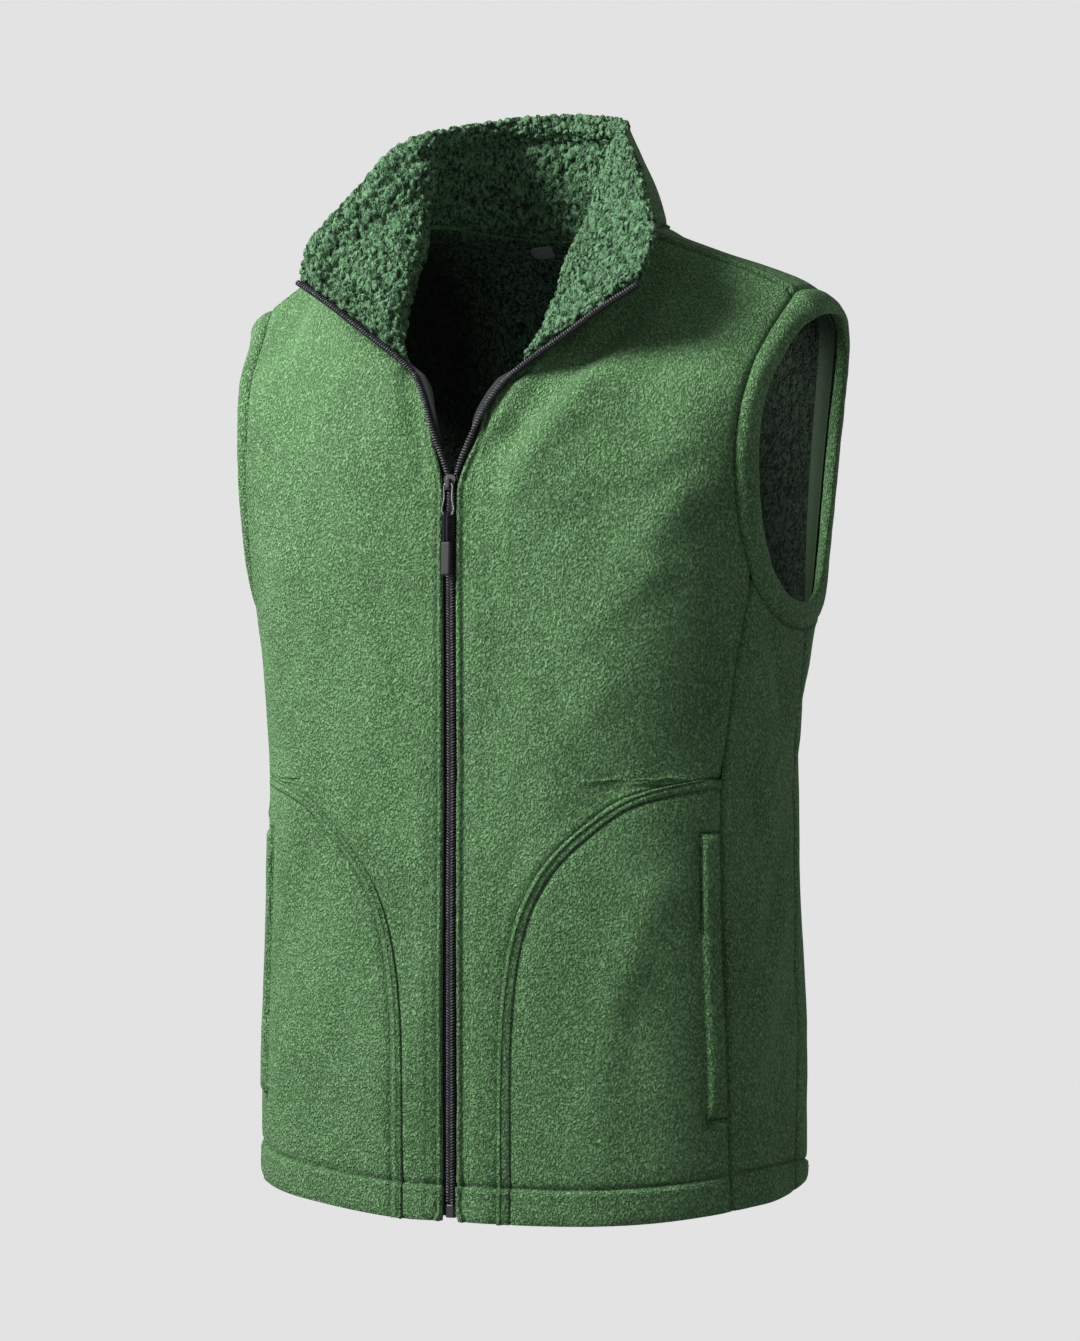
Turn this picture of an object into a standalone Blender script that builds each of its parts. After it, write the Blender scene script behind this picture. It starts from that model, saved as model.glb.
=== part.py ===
"""Fleece vest: short nap outside, curly pile inside, zip open at the neck, collar ends rolled outward.

It keeps the hollow form of a general figure. Metres, +Z up, the front faces -Y and the wearer's left is +X.
The origin lies between the two neck points of the shoulder seams, on the upright axis of the body.

The cloth is read from one smooth torso form. A place on it has two coordinates:
girth - quarters of the way round: 0 centre front, 1 wearer's left side, 2 centre back, 3 right side;
rise  - metres up the cloth: equal to z below the chest, and on up over the chest to the shoulder seam.
"""
import math

import bmesh
import bpy
import numpy as np
from mathutils import Matrix
from mathutils.bvhtree import BVHTree

# --- cloth and seams
CLOTH = 0.0050          # bonded fleece and sherpa
COLLAR_CLOTH = 0.0065   # collar, with its pile
SEAM_GAP = 0.0003       # open seam between two panels
HEM_DEPTH = 0.025       # turned-up hem, stitched
HEM_FOLD = 0.0020       # extra cloth inside the hem
HEM_PROUD = 0.0005      # the hem stands a little proud
HEM_SUNK = 0.0010       # depth of its line of stitching
HEM_SUNK_HALF = 0.0025  # and half the width of that line
SEAM_SINK = 0.0009      # how far a panel's edge sinks into its seam
SEAM_ROLL = 0.0060      # how far in from a seam the cloth is level again

# --- heights (rise)
HEM = -0.700
PRINCESS_TOP = -0.256
POCKET_TOP = -0.3915
ARMHOLE_LOW = -0.288
SHOULDER = 0.052

# --- zip
ZIP_GAP = 0.0065        # half of the opening between the two fronts
SLIDER_RISE = -0.1870
COIL_WIDTH = 0.0064
COIL_THICK = 0.0022
COIL_DEPTH = -0.0039    # coil's middle below the cloth's face
TAPE_THICK = 0.0008
TAPE_DEPTH = -0.0057
TAPE_REACH = 0.0110

# --- the torso form: one ring a row
# rise, half width, front y, front z, back y, back z, fall at the side, roundness
RINGS = np.array((
    (-0.700, 0.2085, -0.1220, -0.700, 0.110, -0.700, 0.000, 2.5),
    (-0.600, 0.2070, -0.1220, -0.600, 0.107, -0.600, 0.000, 2.5),
    (-0.500, 0.2030, -0.1220, -0.500, 0.098, -0.500, 0.000, 2.5),
    (-0.395, 0.2010, -0.1210, -0.395, 0.102, -0.395, 0.000, 2.5),
    (-0.310, 0.2080, -0.1215, -0.310, 0.117, -0.310, 0.000, 2.5),
    (-0.250, 0.2155, -0.1220, -0.250, 0.125, -0.250, 0.000, 2.6),
    (-0.190, 0.2225, -0.1205, -0.190, 0.130, -0.188, 0.004, 2.7),
    (-0.130, 0.2290, -0.1080, -0.131, 0.130, -0.118, 0.014, 2.8),
    (-0.090, 0.2345, -0.0940, -0.094, 0.126, -0.070, 0.026, 2.8),
    (-0.051, 0.2385, -0.0740, -0.060, 0.112, -0.030, 0.040, 2.8),
    (-0.012, 0.2395, -0.0520, -0.028, 0.090, -0.003, 0.053, 2.8),
    (0.020, 0.2390, -0.0350, -0.001, 0.061, 0.015, 0.063, 2.8),
    (0.038, 0.2375, -0.0250, 0.0130, 0.026, 0.0265, 0.068, 2.8),
    (SHOULDER, 0.2360, -0.0140, 0.0220, -0.014, 0.0220, 0.0700, 2.8),
))
SHOULDER_REACH = 0.215  # half width at which the fall is as listed
SHOULDER_FALL = 1.7     # power of the shoulder's slope
HEM_LIFT = 0.015        # the hem rides up at the sides
HEM_LIFT_REACH = 0.205  # by that much this far out
HEM_LIFT_FROM = -0.55
HEM_LIFT_FADE = 0.15
QUARTER = 0.265         # metres of cloth in a quarter of the girth

# --- seam lines
# princess seam: rise, girth
PRINCESS = np.array((
    (HEM, 0.757), (-0.628, 0.751), (-0.430, 0.750), (POCKET_TOP, 0.757), (-0.366, 0.765),
    (-0.311, 0.774), (PRINCESS_TOP, 0.799),
))
# side seam: rise, girth
SIDE_SEAM = np.array((
    (HEM, 1.010), (-0.550, 1.060), (-0.400, 1.090), (ARMHOLE_LOW, 1.070),
))
# curved pocket seam: rise, metres out from the centre front
POCKET_CURVE = np.array((
    (HEM, 0.0385), (-0.604, 0.0388), (-0.555, 0.0405), (-0.520, 0.0450), (-0.497, 0.0500), (-0.480, 0.0560),
    (-0.460, 0.0675), (-0.443, 0.0810), (-0.429, 0.0970), (-0.414, 0.1160), (-0.404, 0.1330),
    (-0.398, 0.1550), (-0.3945, 0.1690), (POCKET_TOP, 0.1835),
))
# the front's free edge below the collar: rise, metres out from the centre front
FRONT_EDGE = np.array((
    (HEM, ZIP_GAP), (-0.191, ZIP_GAP), (-0.181, 0.0090), (-0.172, 0.0122), (-0.163, 0.0160),
    (-0.154, 0.0190), (-0.146, 0.0205), (-0.138, 0.0207), (-0.130, 0.0215), (-0.120, 0.0245),
    (-0.110, 0.0310), (-0.104, 0.0390), (-0.0975, 0.0485),
))
# the front's neckline, up to the shoulder seam: rise, metres out from the centre front
NECK_FRONT = np.array((
    (-0.0970, 0.0490), (-0.085, 0.0560), (-0.068, 0.0640), (-0.045, 0.0735), (-0.025, 0.0815),
    (0.000, 0.0900), (0.020, 0.0955), (0.038, 0.0990), (SHOULDER, 0.1000),
))
# the back's neckline: metres out from the centre back, rise
NECK_BACK = np.array((
    (0.0000, 0.000), (0.0250, 0.002), (0.0450, 0.008), (0.0660, 0.018), (0.0830, 0.028), (0.0955, 0.038),
    (0.0985, 0.045), (0.1000, SHOULDER),
))
# armhole seam, front half: rise, girth
ARMHOLE_FRONT = np.array((
    (PRINCESS_TOP, 0.799), (-0.240, 0.777), (-0.220, 0.751), (-0.193, 0.730), (-0.150, 0.710),
    (-0.123, 0.704), (-0.086, 0.698), (-0.056, 0.697), (-0.013, 0.706), (0.018, 0.727), (SHOULDER, 0.757),
))
# armhole seam, back half: rise, girth
ARMHOLE_BACK = np.array((
    (ARMHOLE_LOW, 1.070), (-0.282, 1.150), (-0.264, 1.225), (-0.235, 1.275), (-0.190, 1.307),
    (-0.130, 1.318), (-0.080, 1.310), (-0.030, 1.290), (0.015, 1.268), (SHOULDER, 1.243),
))
# armhole's finished edge all round: girth, rise, from the shoulder down the front and up the back
ARMHOLE_EDGE = np.array((
    (1.000, 0.030), (0.895, 0.026), (0.835, 0.013), (0.795, -0.005), (0.775, -0.029), (0.767, -0.058),
    (0.765, -0.090), (0.766, -0.118), (0.773, -0.145), (0.784, -0.170), (0.796, -0.193), (0.815, -0.216),
    (0.843, -0.238), (0.883, -0.254), (0.945, -0.266), (1.035, -0.270), (1.120, -0.262), (1.180, -0.242),
    (1.220, -0.205), (1.238, -0.165), (1.243, -0.120), (1.240, -0.080), (1.225, -0.040), (1.200, -0.010),
    (1.150, 0.015), (1.085, 0.027),
))

# --- the collar: station 0 centre back to 1 front end, then three points up each section
# station, low x, y, z, high x, y, z, top x, y, z
COLLAR_SECTIONS = np.array((
    (0.00, 0.000, 0.0765, 0.036, 0.000, 0.0705, 0.066, 0.000, 0.0620, 0.0920),
    (0.21, 0.054, 0.0640, 0.036, 0.048, 0.0580, 0.064, 0.040, 0.0530, 0.0890),
    (0.36, 0.079, 0.0430, 0.036, 0.069, 0.0390, 0.060, 0.060, 0.0330, 0.0830),
    (0.44, 0.090, 0.0230, 0.030, 0.078, 0.0210, 0.056, 0.068, 0.0150, 0.0780),
    (0.52, 0.094, -0.0100, 0.026, 0.082, -0.0040, 0.052, 0.078, -0.0060, 0.0710),
    (0.63, 0.078, -0.0360, -0.002, 0.073, -0.0260, 0.030, 0.093, -0.0230, 0.0590),
    (0.72, 0.067, -0.0480, -0.020, 0.075, -0.0380, 0.015, 0.107, -0.0360, 0.0430),
    (0.79, 0.064, -0.0620, -0.032, 0.084, -0.0520, -0.006, 0.122, -0.0520, 0.0150),
    (0.87, 0.066, -0.0760, -0.052, 0.093, -0.0670, -0.028, 0.134, -0.0660, -0.0040),
    (0.94, 0.069, -0.0885, -0.071, 0.099, -0.0820, -0.048, 0.1405, -0.0810, -0.0220),
    (1.00, 0.074, -0.0985, -0.084, 0.104, -0.0985, -0.065, 0.136, -0.0950, -0.0450),
))
COLLAR_SEAT = 0.0007    # the collar's lower edge stands this far off the neckline
COLLAR_TILT = 0.0075    # the open neck hangs a little lower on the wearer's left
HEM_TILT = 0.0055       # and the hem a little higher on the right
SHOULDER_TILT = 0.0035  # and the right shoulder a little higher than the left

# --- soft folds that show in the cloth: side, start girth, rise, end girth, rise, half width, height
FOLDS = np.array((
    (1, 0.165, -0.120, 0.045, -0.215, 0.016, -0.0050),
    (1, 0.300, -0.100, 0.120, -0.230, 0.022, 0.0045),
    (1, 0.420, -0.150, 0.230, -0.290, 0.030, -0.0030),
    (1, 0.620, -0.100, 0.560, -0.250, 0.030, 0.0030),
    (1, 0.500, -0.300, 0.250, -0.420, 0.040, 0.0025),
    (-1, 0.130, -0.120, 0.030, -0.230, 0.014, -0.0050),
    (-1, 0.230, -0.110, 0.110, -0.260, 0.020, 0.0040),
    (-1, 0.400, -0.020, 0.330, -0.140, 0.022, 0.0030),
    (-1, 0.560, -0.060, 0.470, -0.240, 0.030, -0.0025),
    (1, 0.960, -0.330, 0.800, -0.390, 0.014, -0.0030),
    (1, 1.000, -0.420, 0.800, -0.500, 0.016, -0.0030),
    (1, 1.000, -0.500, 0.830, -0.590, 0.016, -0.0025),
    (-1, 0.980, -0.340, 0.800, -0.410, 0.015, -0.0030),
    (-1, 1.000, -0.450, 0.820, -0.540, 0.016, -0.0028),
    (1, 1.300, -0.330, 1.600, -0.420, 0.030, -0.0035),
    (-1, 1.280, -0.350, 1.560, -0.450, 0.030, -0.0035),
    (1, 1.450, -0.080, 1.560, -0.240, 0.028, -0.0030),
    (-1, 1.430, -0.090, 1.580, -0.230, 0.028, -0.0030),
    (1, 1.500, -0.520, 1.620, -0.680, 0.035, 0.0030),
    (-1, 1.550, -0.500, 1.480, -0.670, 0.035, 0.0030),
))
FOLD_CLEAR, FOLD_FADE = 0.004, 0.018    # the folds die out beside the zip


def slope_at(k, gaps, rates):
    """Slope of a smooth curve at its k-th point, with no overshoot."""
    if k == 0:
        return rates[0]
    if k == len(gaps):
        return rates[-1]
    if rates[k - 1] * rates[k] <= 0.0:
        return 0.0
    first = 2 * gaps[k] + gaps[k - 1]
    second = gaps[k] + 2 * gaps[k - 1]
    return (first + second) / (first / rates[k - 1] + second / rates[k])


def along(x, xs, ys):
    """Value at x of the smooth curve through (xs, ys)."""
    x = min(max(x, xs[0]), xs[-1])
    i = int(min(max(np.searchsorted(xs, x) - 1, 0), len(xs) - 2))
    gaps = np.diff(xs)
    rates = np.diff(ys) / gaps
    t = (x - xs[i]) / gaps[i]
    start = slope_at(i, gaps, rates) * gaps[i]
    end = slope_at(i + 1, gaps, rates) * gaps[i]
    return ((2 * t**3 - 3 * t**2 + 1) * ys[i] + (t**3 - 2 * t**2 + t) * start
            + (3 * t**2 - 2 * t**3) * ys[i + 1] + (t**3 - t**2) * end)


def quarter_ring(half_width=0.205, depth=0.12, roundness=2.5, steps=2000):
    """Share of the quarter girth against share of the half width, on a typical ring."""
    turn = np.linspace(0.0, math.pi / 2, steps)
    across = np.sin(turn) ** (2 / roundness)
    ahead = np.cos(turn) ** (2 / roundness)
    steps_along = np.hypot(np.diff(half_width * across), np.diff(depth * ahead))
    length = np.concatenate(([0.0], np.cumsum(steps_along)))
    return length / length[-1], across


GIRTH_SHARE, WIDTH_SHARE = quarter_ring()


def ring_at(rise):
    return [along(rise, RINGS[:, 0], RINGS[:, k]) for k in range(1, 8)]


def smooth_step(x):
    x = min(max(x, 0.0), 1.0)
    return x * x * (3 - 2 * x)


def body_point(girth, rise):
    """The plain torso form's point at a girth and a rise. Past the shoulder seam it goes over the top."""
    if girth > 2.0:
        girth -= 4.0
    side = 1.0 if girth >= 0.0 else -1.0
    girth = abs(girth)
    if rise > SHOULDER:
        rise = 2 * SHOULDER - rise
        girth = 2.0 - girth
    half_width, front_y, front_z, back_y, back_z, fall, roundness = ring_at(rise)
    behind = girth > 1.0
    share = np.interp(2.0 - girth if behind else girth, GIRTH_SHARE, WIDTH_SHARE)
    x = half_width * share
    depth = max(0.0, 1.0 - share**roundness) ** (1 / roundness)
    if behind:
        y = back_y * depth
        z = back_z * (0.5 + 0.5 * depth) + front_z * (0.5 - 0.5 * depth)
    else:
        y = front_y * depth
        z = front_z * (0.5 + 0.5 * depth) + back_z * (0.5 - 0.5 * depth)
    z -= fall * (x / SHOULDER_REACH) ** SHOULDER_FALL
    z += HEM_LIFT * (x / HEM_LIFT_REACH) ** 4 * max(0.0, (HEM_LIFT_FROM - rise) / HEM_LIFT_FADE)
    return np.array((side * x, y, z))


def body_frame(girth, rise, step=0.002):
    """Point, direction of rising girth, direction of rising rise, and outward direction."""
    point = body_point(girth, rise)
    by_girth = body_point(girth + step / QUARTER, rise) - body_point(girth - step / QUARTER, rise)
    by_rise = body_point(girth, rise + step) - body_point(girth, rise - step)
    by_girth /= np.linalg.norm(by_girth)
    by_rise /= np.linalg.norm(by_rise)
    outward = np.cross(by_girth, by_rise)
    return point, by_girth, by_rise, outward / np.linalg.norm(outward)


def girth_at(x, rise):
    """Girth on the front at x metres out from the centre front."""
    share = min(abs(x) / ring_at(rise)[0], 1.0)
    return float(np.interp(share, WIDTH_SHARE, GIRTH_SHARE))


def back_neck_rise(girth):
    """Rise of the back's upper edge at a girth: the neckline, then the shoulder seam."""
    share = np.interp(2.0 - girth, GIRTH_SHARE, WIDTH_SHARE)
    x = share * ring_at(SHOULDER)[0]
    if x >= NECK_BACK[-1, 0]:
        return SHOULDER
    return along(x, NECK_BACK[:, 0], NECK_BACK[:, 1])


def settle(point):
    """The open neck and collar hang a little lower on the wearer's left; the hem rides up on the right."""
    x, y, z = point
    share = smooth_step((z + 0.25) / 0.15) * math.exp(-(abs(x) / 0.16) ** 6)
    ride = HEM_TILT * smooth_step((-x - 0.03) / 0.10) * smooth_step((-0.55 - z) / 0.12)
    lean = SHOULDER_TILT * smooth_step((abs(x) - 0.1) / 0.1) * smooth_step((z + 0.25) / 0.15)
    return (x, y, z - COLLAR_TILT * x / 0.1 * share + ride - math.copysign(lean, x))


def fold_height(girth, rise):
    """Height of the soft folds at a place: ridges above zero, troughs below."""
    if girth > 2.0:
        girth -= 4.0
    side = 1 if girth >= 0 else -1
    place = np.array((abs(girth) * QUARTER, rise))
    total = 0.0
    for row in FOLDS:
        if row[0] != side:
            continue
        start = np.array((row[1] * QUARTER, row[2]))
        line = np.array((row[3] * QUARTER, row[4])) - start
        share = np.dot(place - start, line) / np.dot(line, line)
        off = np.linalg.norm(place - start - min(max(share, 0.0), 1.0) * line)
        taper = 1.0 - 0.6 * min(max(share, 0.0), 1.0)
        total += row[6] * taper * math.exp(-(off / row[5]) ** 2)
    if rise < NECK_FRONT[0, 0] and abs(girth) < 1.0:
        free = along(rise, FRONT_EDGE[:, 0], FRONT_EDGE[:, 1])
        total *= smooth_step((abs(girth) * QUARTER - free - FOLD_CLEAR) / FOLD_FADE)
    return total


def hem_extra(girth, rise):
    """More cloth inside the turned-up hem, but for the place where the zip's tape lies."""
    beside_zip = abs(girth) * QUARTER < ZIP_GAP + ZIP_EDGE[-2][0] + 0.001
    return HEM_FOLD if rise < HEM + HEM_DEPTH - 0.001 and not beside_zip else 0.0


def hem_relief(rise):
    """The hem is a little proud, with a sunk line of stitching at its top."""
    up = rise - HEM
    proud = HEM_PROUD * smooth_step((HEM_DEPTH - up) / SEAM_ROLL)
    return proud - HEM_SUNK * math.exp(-((up - HEM_DEPTH) / HEM_SUNK_HALF) ** 2)


# ------------------------------------------------------------------ making meshes
def material(name, colour, roughness, metallic=0.0):
    made = bpy.data.materials.new(name)
    made.use_nodes = True
    shader = made.node_tree.nodes["Principled BSDF"]
    shader.inputs["Base Color"].default_value = (*colour, 1.0)
    shader.inputs["Roughness"].default_value = roughness
    shader.inputs["Metallic"].default_value = metallic
    made.diffuse_color = (*colour, 1.0)
    return made


def add_object(name, points, faces, finish, smooth=True):
    """A named closed body. Its faces are turned to point outward."""
    mesh = bpy.data.meshes.new(name)
    work = bmesh.new()
    corners = [work.verts.new(settle(p)) for p in points]
    for face in faces:
        work.faces.new([corners[i] for i in face])
    bmesh.ops.recalc_face_normals(work, faces=work.faces)
    work.to_mesh(mesh)
    work.free()
    if smooth:
        mesh.shade_smooth()
        mesh.set_sharp_from_angle(angle=math.radians(50))
    mesh.materials.append(finish)
    piece = bpy.data.objects.new(name, mesh)
    bpy.context.scene.collection.objects.link(piece)
    return piece


def wall(outer, inner):
    """Points and faces of a closed wall between two grids of the same rows and columns."""
    rows = len(outer)
    columns = len(outer[0])
    points = [p for row in outer for p in row] + [p for row in inner for p in row]
    behind = rows * columns
    faces = []
    for i in range(rows - 1):
        for j in range(columns - 1):
            a = i * columns + j
            b = behind + a
            faces.append((a, a + 1, a + columns + 1, a + columns))
            faces.append((b, b + columns, b + columns + 1, b + 1))
    rim = [(i, 0) for i in range(rows)] + [(rows - 1, j) for j in range(1, columns)]
    rim += [(i, columns - 1) for i in range(rows - 2, -1, -1)] + [(0, j) for j in range(columns - 2, 0, -1)]
    loop = [i * columns + j for i, j in rim]
    for a, b in zip(loop, loop[1:] + loop[:1]):
        faces.append((a, b, behind + b, behind + a))
    return points, faces


def sweep(sections, closed=False):
    """Points and faces of a bar through sections of the same number of points.

    Both halves of the section are split along the same way, so a thin twisted strip keeps its thickness.
    """
    count = len(sections)
    size = len(sections[0])
    points = [p for section in sections for p in section]
    faces = []
    for i in range(count if closed else count - 1):
        here = i * size
        there = (i + 1) % count * size
        for k in range(size):
            n = (k + 1) % size
            if k < size // 2:
                faces.append((here + k, here + n, there + n, there + k))
            else:
                faces.append((here + n, there + n, there + k, here + k))
    if not closed:
        faces.append(tuple(range(size)))
        faces.append(tuple(range((count - 1) * size, count * size)))
    return points, faces


def panel_tree(grids):
    """Search tree of the faces between the points of some grids."""
    points = []
    faces = []
    for grid in grids:
        first = len(points)
        columns = len(grid[0])
        points += [p for row in grid for p in row]
        for i in range(len(grid) - 1):
            for j in range(columns - 1):
                a = first + i * columns + j
                faces.append((a, a + 1, a + columns + 1))
                faces.append((a, a + columns + 1, a + columns))
    return BVHTree.FromPolygons(points, faces)


def mirrored(points):
    return [np.array((-p[0], p[1], p[2])) for p in points]


# ------------------------------------------------------------------ lines on the cloth
def shifted(line, distance):
    """A line of (girth, rise) places moved sideways over the cloth, to its left by distance."""
    flat = np.array([(g * QUARTER, r) for g, r in line])
    moved = []
    for i, place in enumerate(flat):
        before = flat[max(i - 1, 0)]
        after = flat[min(i + 1, len(flat) - 1)]
        ways = [d for d in (place - before, after - place) if np.linalg.norm(d) > 0]
        normals = [np.array((-d[1], d[0])) / np.linalg.norm(d) for d in ways]
        mean = sum(normals)
        mean /= np.linalg.norm(mean)
        mean /= max(0.5, np.dot(mean, normals[0]))
        spot = place + mean * distance
        moved.append((spot[0] / QUARTER, spot[1]))
    return moved


def line_by_rise(table, rises, metres=False):
    """Places along a seam table (rise, girth) or (rise, metres from centre front) at the listed rises."""
    places = []
    for rise in rises:
        value = along(rise, table[:, 0], table[:, 1])
        places.append((girth_at(value, rise) if metres else value, rise))
    return places


def spread(width, near_left, near_right, middle):
    """Shares across a row: close columns at each edge, and a number of even ones or listed ones between."""
    squeeze = min(1.0, 0.8 * width / (near_left[-1] + near_right[-1] + 1e-9))
    left = [d * squeeze / width for d in near_left]
    right = [1.0 - d * squeeze / width for d in reversed(near_right)]
    if isinstance(middle, tuple):
        return left + list(middle) + right
    gap = (right[0] - left[-1]) / (middle + 1)
    return left + [left[-1] + gap * (k + 1) for k in range(middle)] + right


# how the cloth sinks and swells near an edge: metres in from the edge, height
PLAIN_EDGE = ((0.0, -SEAM_SINK), (SEAM_ROLL, 0.0))
ZIP_EDGE = ((0.0, -0.0014), (0.0030, 0.0006), (0.0090, -0.0010), (0.0130, 0.0))
POCKET_EDGE = ((0.0, -SEAM_SINK), (0.0030, 0.0008), (0.0060, -0.0009), (0.0100, 0.0))


def panel_grids(left, right, left_edge, right_edge, middle, side=1, top=None, top_from=0, top_edge=0.0):
    """Outer and inner grids of a cloth panel between two lines of places with the same number of rows.

    Places are those of the wearer's left side; where side is -1 the folds are those of the right side.
    top(share) gives the places of an upper edge that isn't straight. From row top_from on, the rows bend
    towards it, and are evenly spaced in the middle of the panel.
    """
    outer = []
    inner = []
    last = len(left) - 1
    near_left = [d for d, _ in left_edge]
    near_right = [d for d, _ in right_edge]
    between = len(middle) if isinstance(middle, tuple) else middle
    heights = [h for _, h in left_edge] + [0.0] * between + [h for _, h in reversed(right_edge)]
    for i, (a, b) in enumerate(zip(left, right)):
        width = math.hypot((b[0] - a[0]) * QUARTER, b[1] - a[1])
        shares = spread(width, near_left, near_right, middle)
        pull = 0.0
        if top is not None and i > top_from:
            pull = ((i - top_from) / (last - top_from)) ** 1.5
        out_row = []
        in_row = []
        for share, height in zip(shares, heights):
            girth = a[0] + (b[0] - a[0]) * share
            rise = a[1] + (b[1] - a[1]) * share
            if pull > 0.0:
                edge = top(share)
                girth += pull * (edge[0] - left[last][0] - (right[last][0] - left[last][0]) * share)
                rise += pull * (edge[1] - left[last][1] - (right[last][1] - left[last][1]) * share)
                way = (i - top_from) / (last - top_from)
                crown = top(0.5)[1]
                even = left[top_from][1] + (crown - left[top_from][1]) * way
                there = 0.5 * (a[1] + b[1]) + pull * (crown - 0.5 * (left[last][1] + right[last][1]))
                rise += (even - there) * smooth_step(min(share, 1.0 - share) / 0.22)
            point, _, _, outward = body_frame(girth, rise)
            fold = fold_height(side * girth, rise)
            lift = height + fold + hem_relief(rise)
            if i == last:
                lift -= top_edge
            base = fold - CLOTH - hem_extra(girth, rise)
            out_row.append(point + outward * lift)
            in_row.append(point + outward * base)
        outer.append(out_row)
        inner.append(in_row)
    return outer, inner


def add_side(name, side, points, faces, finish):
    """A solid of the wearer's left (side 1) or, mirrored, of the right (side -1)."""
    if side > 0:
        return add_object(name + "_L", points, faces, finish)
    return add_object(name + "_R", mirrored(points), faces, finish)


# rows shared by neighbouring panels
HEM_ROWS = (HEM, HEM + 0.012, HEM + HEM_DEPTH - 0.004, HEM + HEM_DEPTH, HEM + HEM_DEPTH + 0.006)
SKIRT_ROWS = HEM_ROWS + (-0.640, -0.600, -0.565, -0.535, -0.510, -0.485, -0.463, -0.446)
CURVE_ROWS = (-0.431, -0.418, -0.408, -0.401, -0.3965, -0.3935, POCKET_TOP)
WAIST_ROWS = (-0.365, -0.330, -0.300, -0.276, PRINCESS_TOP)
CHEST_ROWS = (-0.238, -0.218, -0.200, -0.190, -0.181, -0.172, -0.163, -0.154, -0.146, -0.138, -0.130,
              -0.120, -0.110, -0.104, -0.0975, -0.080, -0.056, -0.028, 0.000, 0.022, 0.038, SHOULDER)
SIDE_ROWS = HEM_ROWS + (-0.635, -0.580, -0.525, -0.475, -0.430, POCKET_TOP)
SIDE_COLUMNS = 5


def hem_and_top(line, gap_low=0.0, gap_top=SEAM_GAP / 2):
    """Open a line's last place by half a seam."""
    moved = list(line)
    moved[-1] = (moved[-1][0], moved[-1][1] - gap_top)
    moved[0] = (moved[0][0], moved[0][1] + gap_low)
    return moved


def front_right_line():
    """Right edge of the left front, upward: pocket curve, princess seam, armhole."""
    rows = SKIRT_ROWS + CURVE_ROWS
    line = line_by_rise(POCKET_CURVE, rows, metres=True)
    line += line_by_rise(PRINCESS, WAIST_ROWS)
    line += line_by_rise(ARMHOLE_FRONT, CHEST_ROWS)
    return line


def make_front(cloth, side):
    rows = SKIRT_ROWS + CURVE_ROWS + WAIST_ROWS + CHEST_ROWS
    edge = np.concatenate((FRONT_EDGE, NECK_FRONT[1:]))
    left = line_by_rise(edge, rows, metres=True)
    right = shifted(front_right_line(), SEAM_GAP / 2)
    grids = panel_grids(hem_and_top(left), hem_and_top(right), ZIP_EDGE, PLAIN_EDGE, 5, side)
    add_side("front", side, *wall(*grids), cloth)
    return grids


def make_pocket_panel(cloth, side):
    rows = SKIRT_ROWS + CURVE_ROWS[:-1]
    left = shifted(line_by_rise(POCKET_CURVE, rows + CURVE_ROWS[-1:], metres=True), -SEAM_GAP / 2)[:-1]
    right = shifted(line_by_rise(PRINCESS, rows), SEAM_GAP / 2)
    grids = panel_grids(left, right, POCKET_EDGE, PLAIN_EDGE, 4, side)
    add_side("pocket_panel", side, *wall(*grids), cloth)
    return grids


def armhole_low_place(share):
    """The armhole seam between the princess seam and the side seam, 0 to 1."""
    start = np.array((0.799, PRINCESS_TOP))
    end = np.array((1.070, ARMHOLE_LOW))
    sag = np.array((0.0, -0.0135)) * math.sin(math.pi * share ** 0.8)
    return start + (end - start) * share + sag


def make_side_front(cloth, side):
    rows = SIDE_ROWS + WAIST_ROWS
    left = shifted(line_by_rise(PRINCESS, rows), -SEAM_GAP / 2)
    low = list(np.linspace(POCKET_TOP, ARMHOLE_LOW, len(WAIST_ROWS) + 1))[1:]
    right = shifted(line_by_rise(SIDE_SEAM, SIDE_ROWS + tuple(low)), SEAM_GAP / 2)

    def top(share):
        girth, rise = armhole_low_place(share)
        return girth, rise - SEAM_GAP / 2

    grids = panel_grids(hem_and_top(left), hem_and_top(right), PLAIN_EDGE, PLAIN_EDGE, SIDE_COLUMNS, side,
                        top, len(SIDE_ROWS) - 1, SEAM_SINK)
    add_side("side_front", side, *wall(*grids), cloth)
    return grids


BACK_ARM_ROWS = (-0.2865, -0.279, -0.266, -0.244, -0.212, -0.176, -0.140, -0.106, -0.074, -0.044,
                 -0.016, 0.010, 0.032, SHOULDER)
# columns of the back, closer together below the corners of its neckline
BACK_HALF = (0.045, 0.115, 0.190, 0.250, 0.285, 0.303, 0.322, 0.355, 0.400, 0.450)
BACK_COLUMNS = BACK_HALF + (0.5,) + tuple(1.0 - share for share in reversed(BACK_HALF))


def make_back(cloth):
    low = tuple(np.linspace(POCKET_TOP, ARMHOLE_LOW, len(WAIST_ROWS) + 1))[1:]
    near = line_by_rise(SIDE_SEAM, SIDE_ROWS + low) + line_by_rise(ARMHOLE_BACK, BACK_ARM_ROWS)
    near = shifted(near, -SEAM_GAP / 2)
    far = [(4.0 - girth, rise) for girth, rise in near]

    def top(share):
        girth = near[-1][0] + (far[-1][0] - near[-1][0]) * share
        return girth, back_neck_rise(min(girth, 4.0 - girth)) - SEAM_GAP / 2

    grids = panel_grids(hem_and_top(near), hem_and_top(far), PLAIN_EDGE, PLAIN_EDGE, BACK_COLUMNS, 1,
                        top, len(SIDE_ROWS) - 1)
    add_object("back", *wall(*grids), cloth)
    return grids


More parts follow.
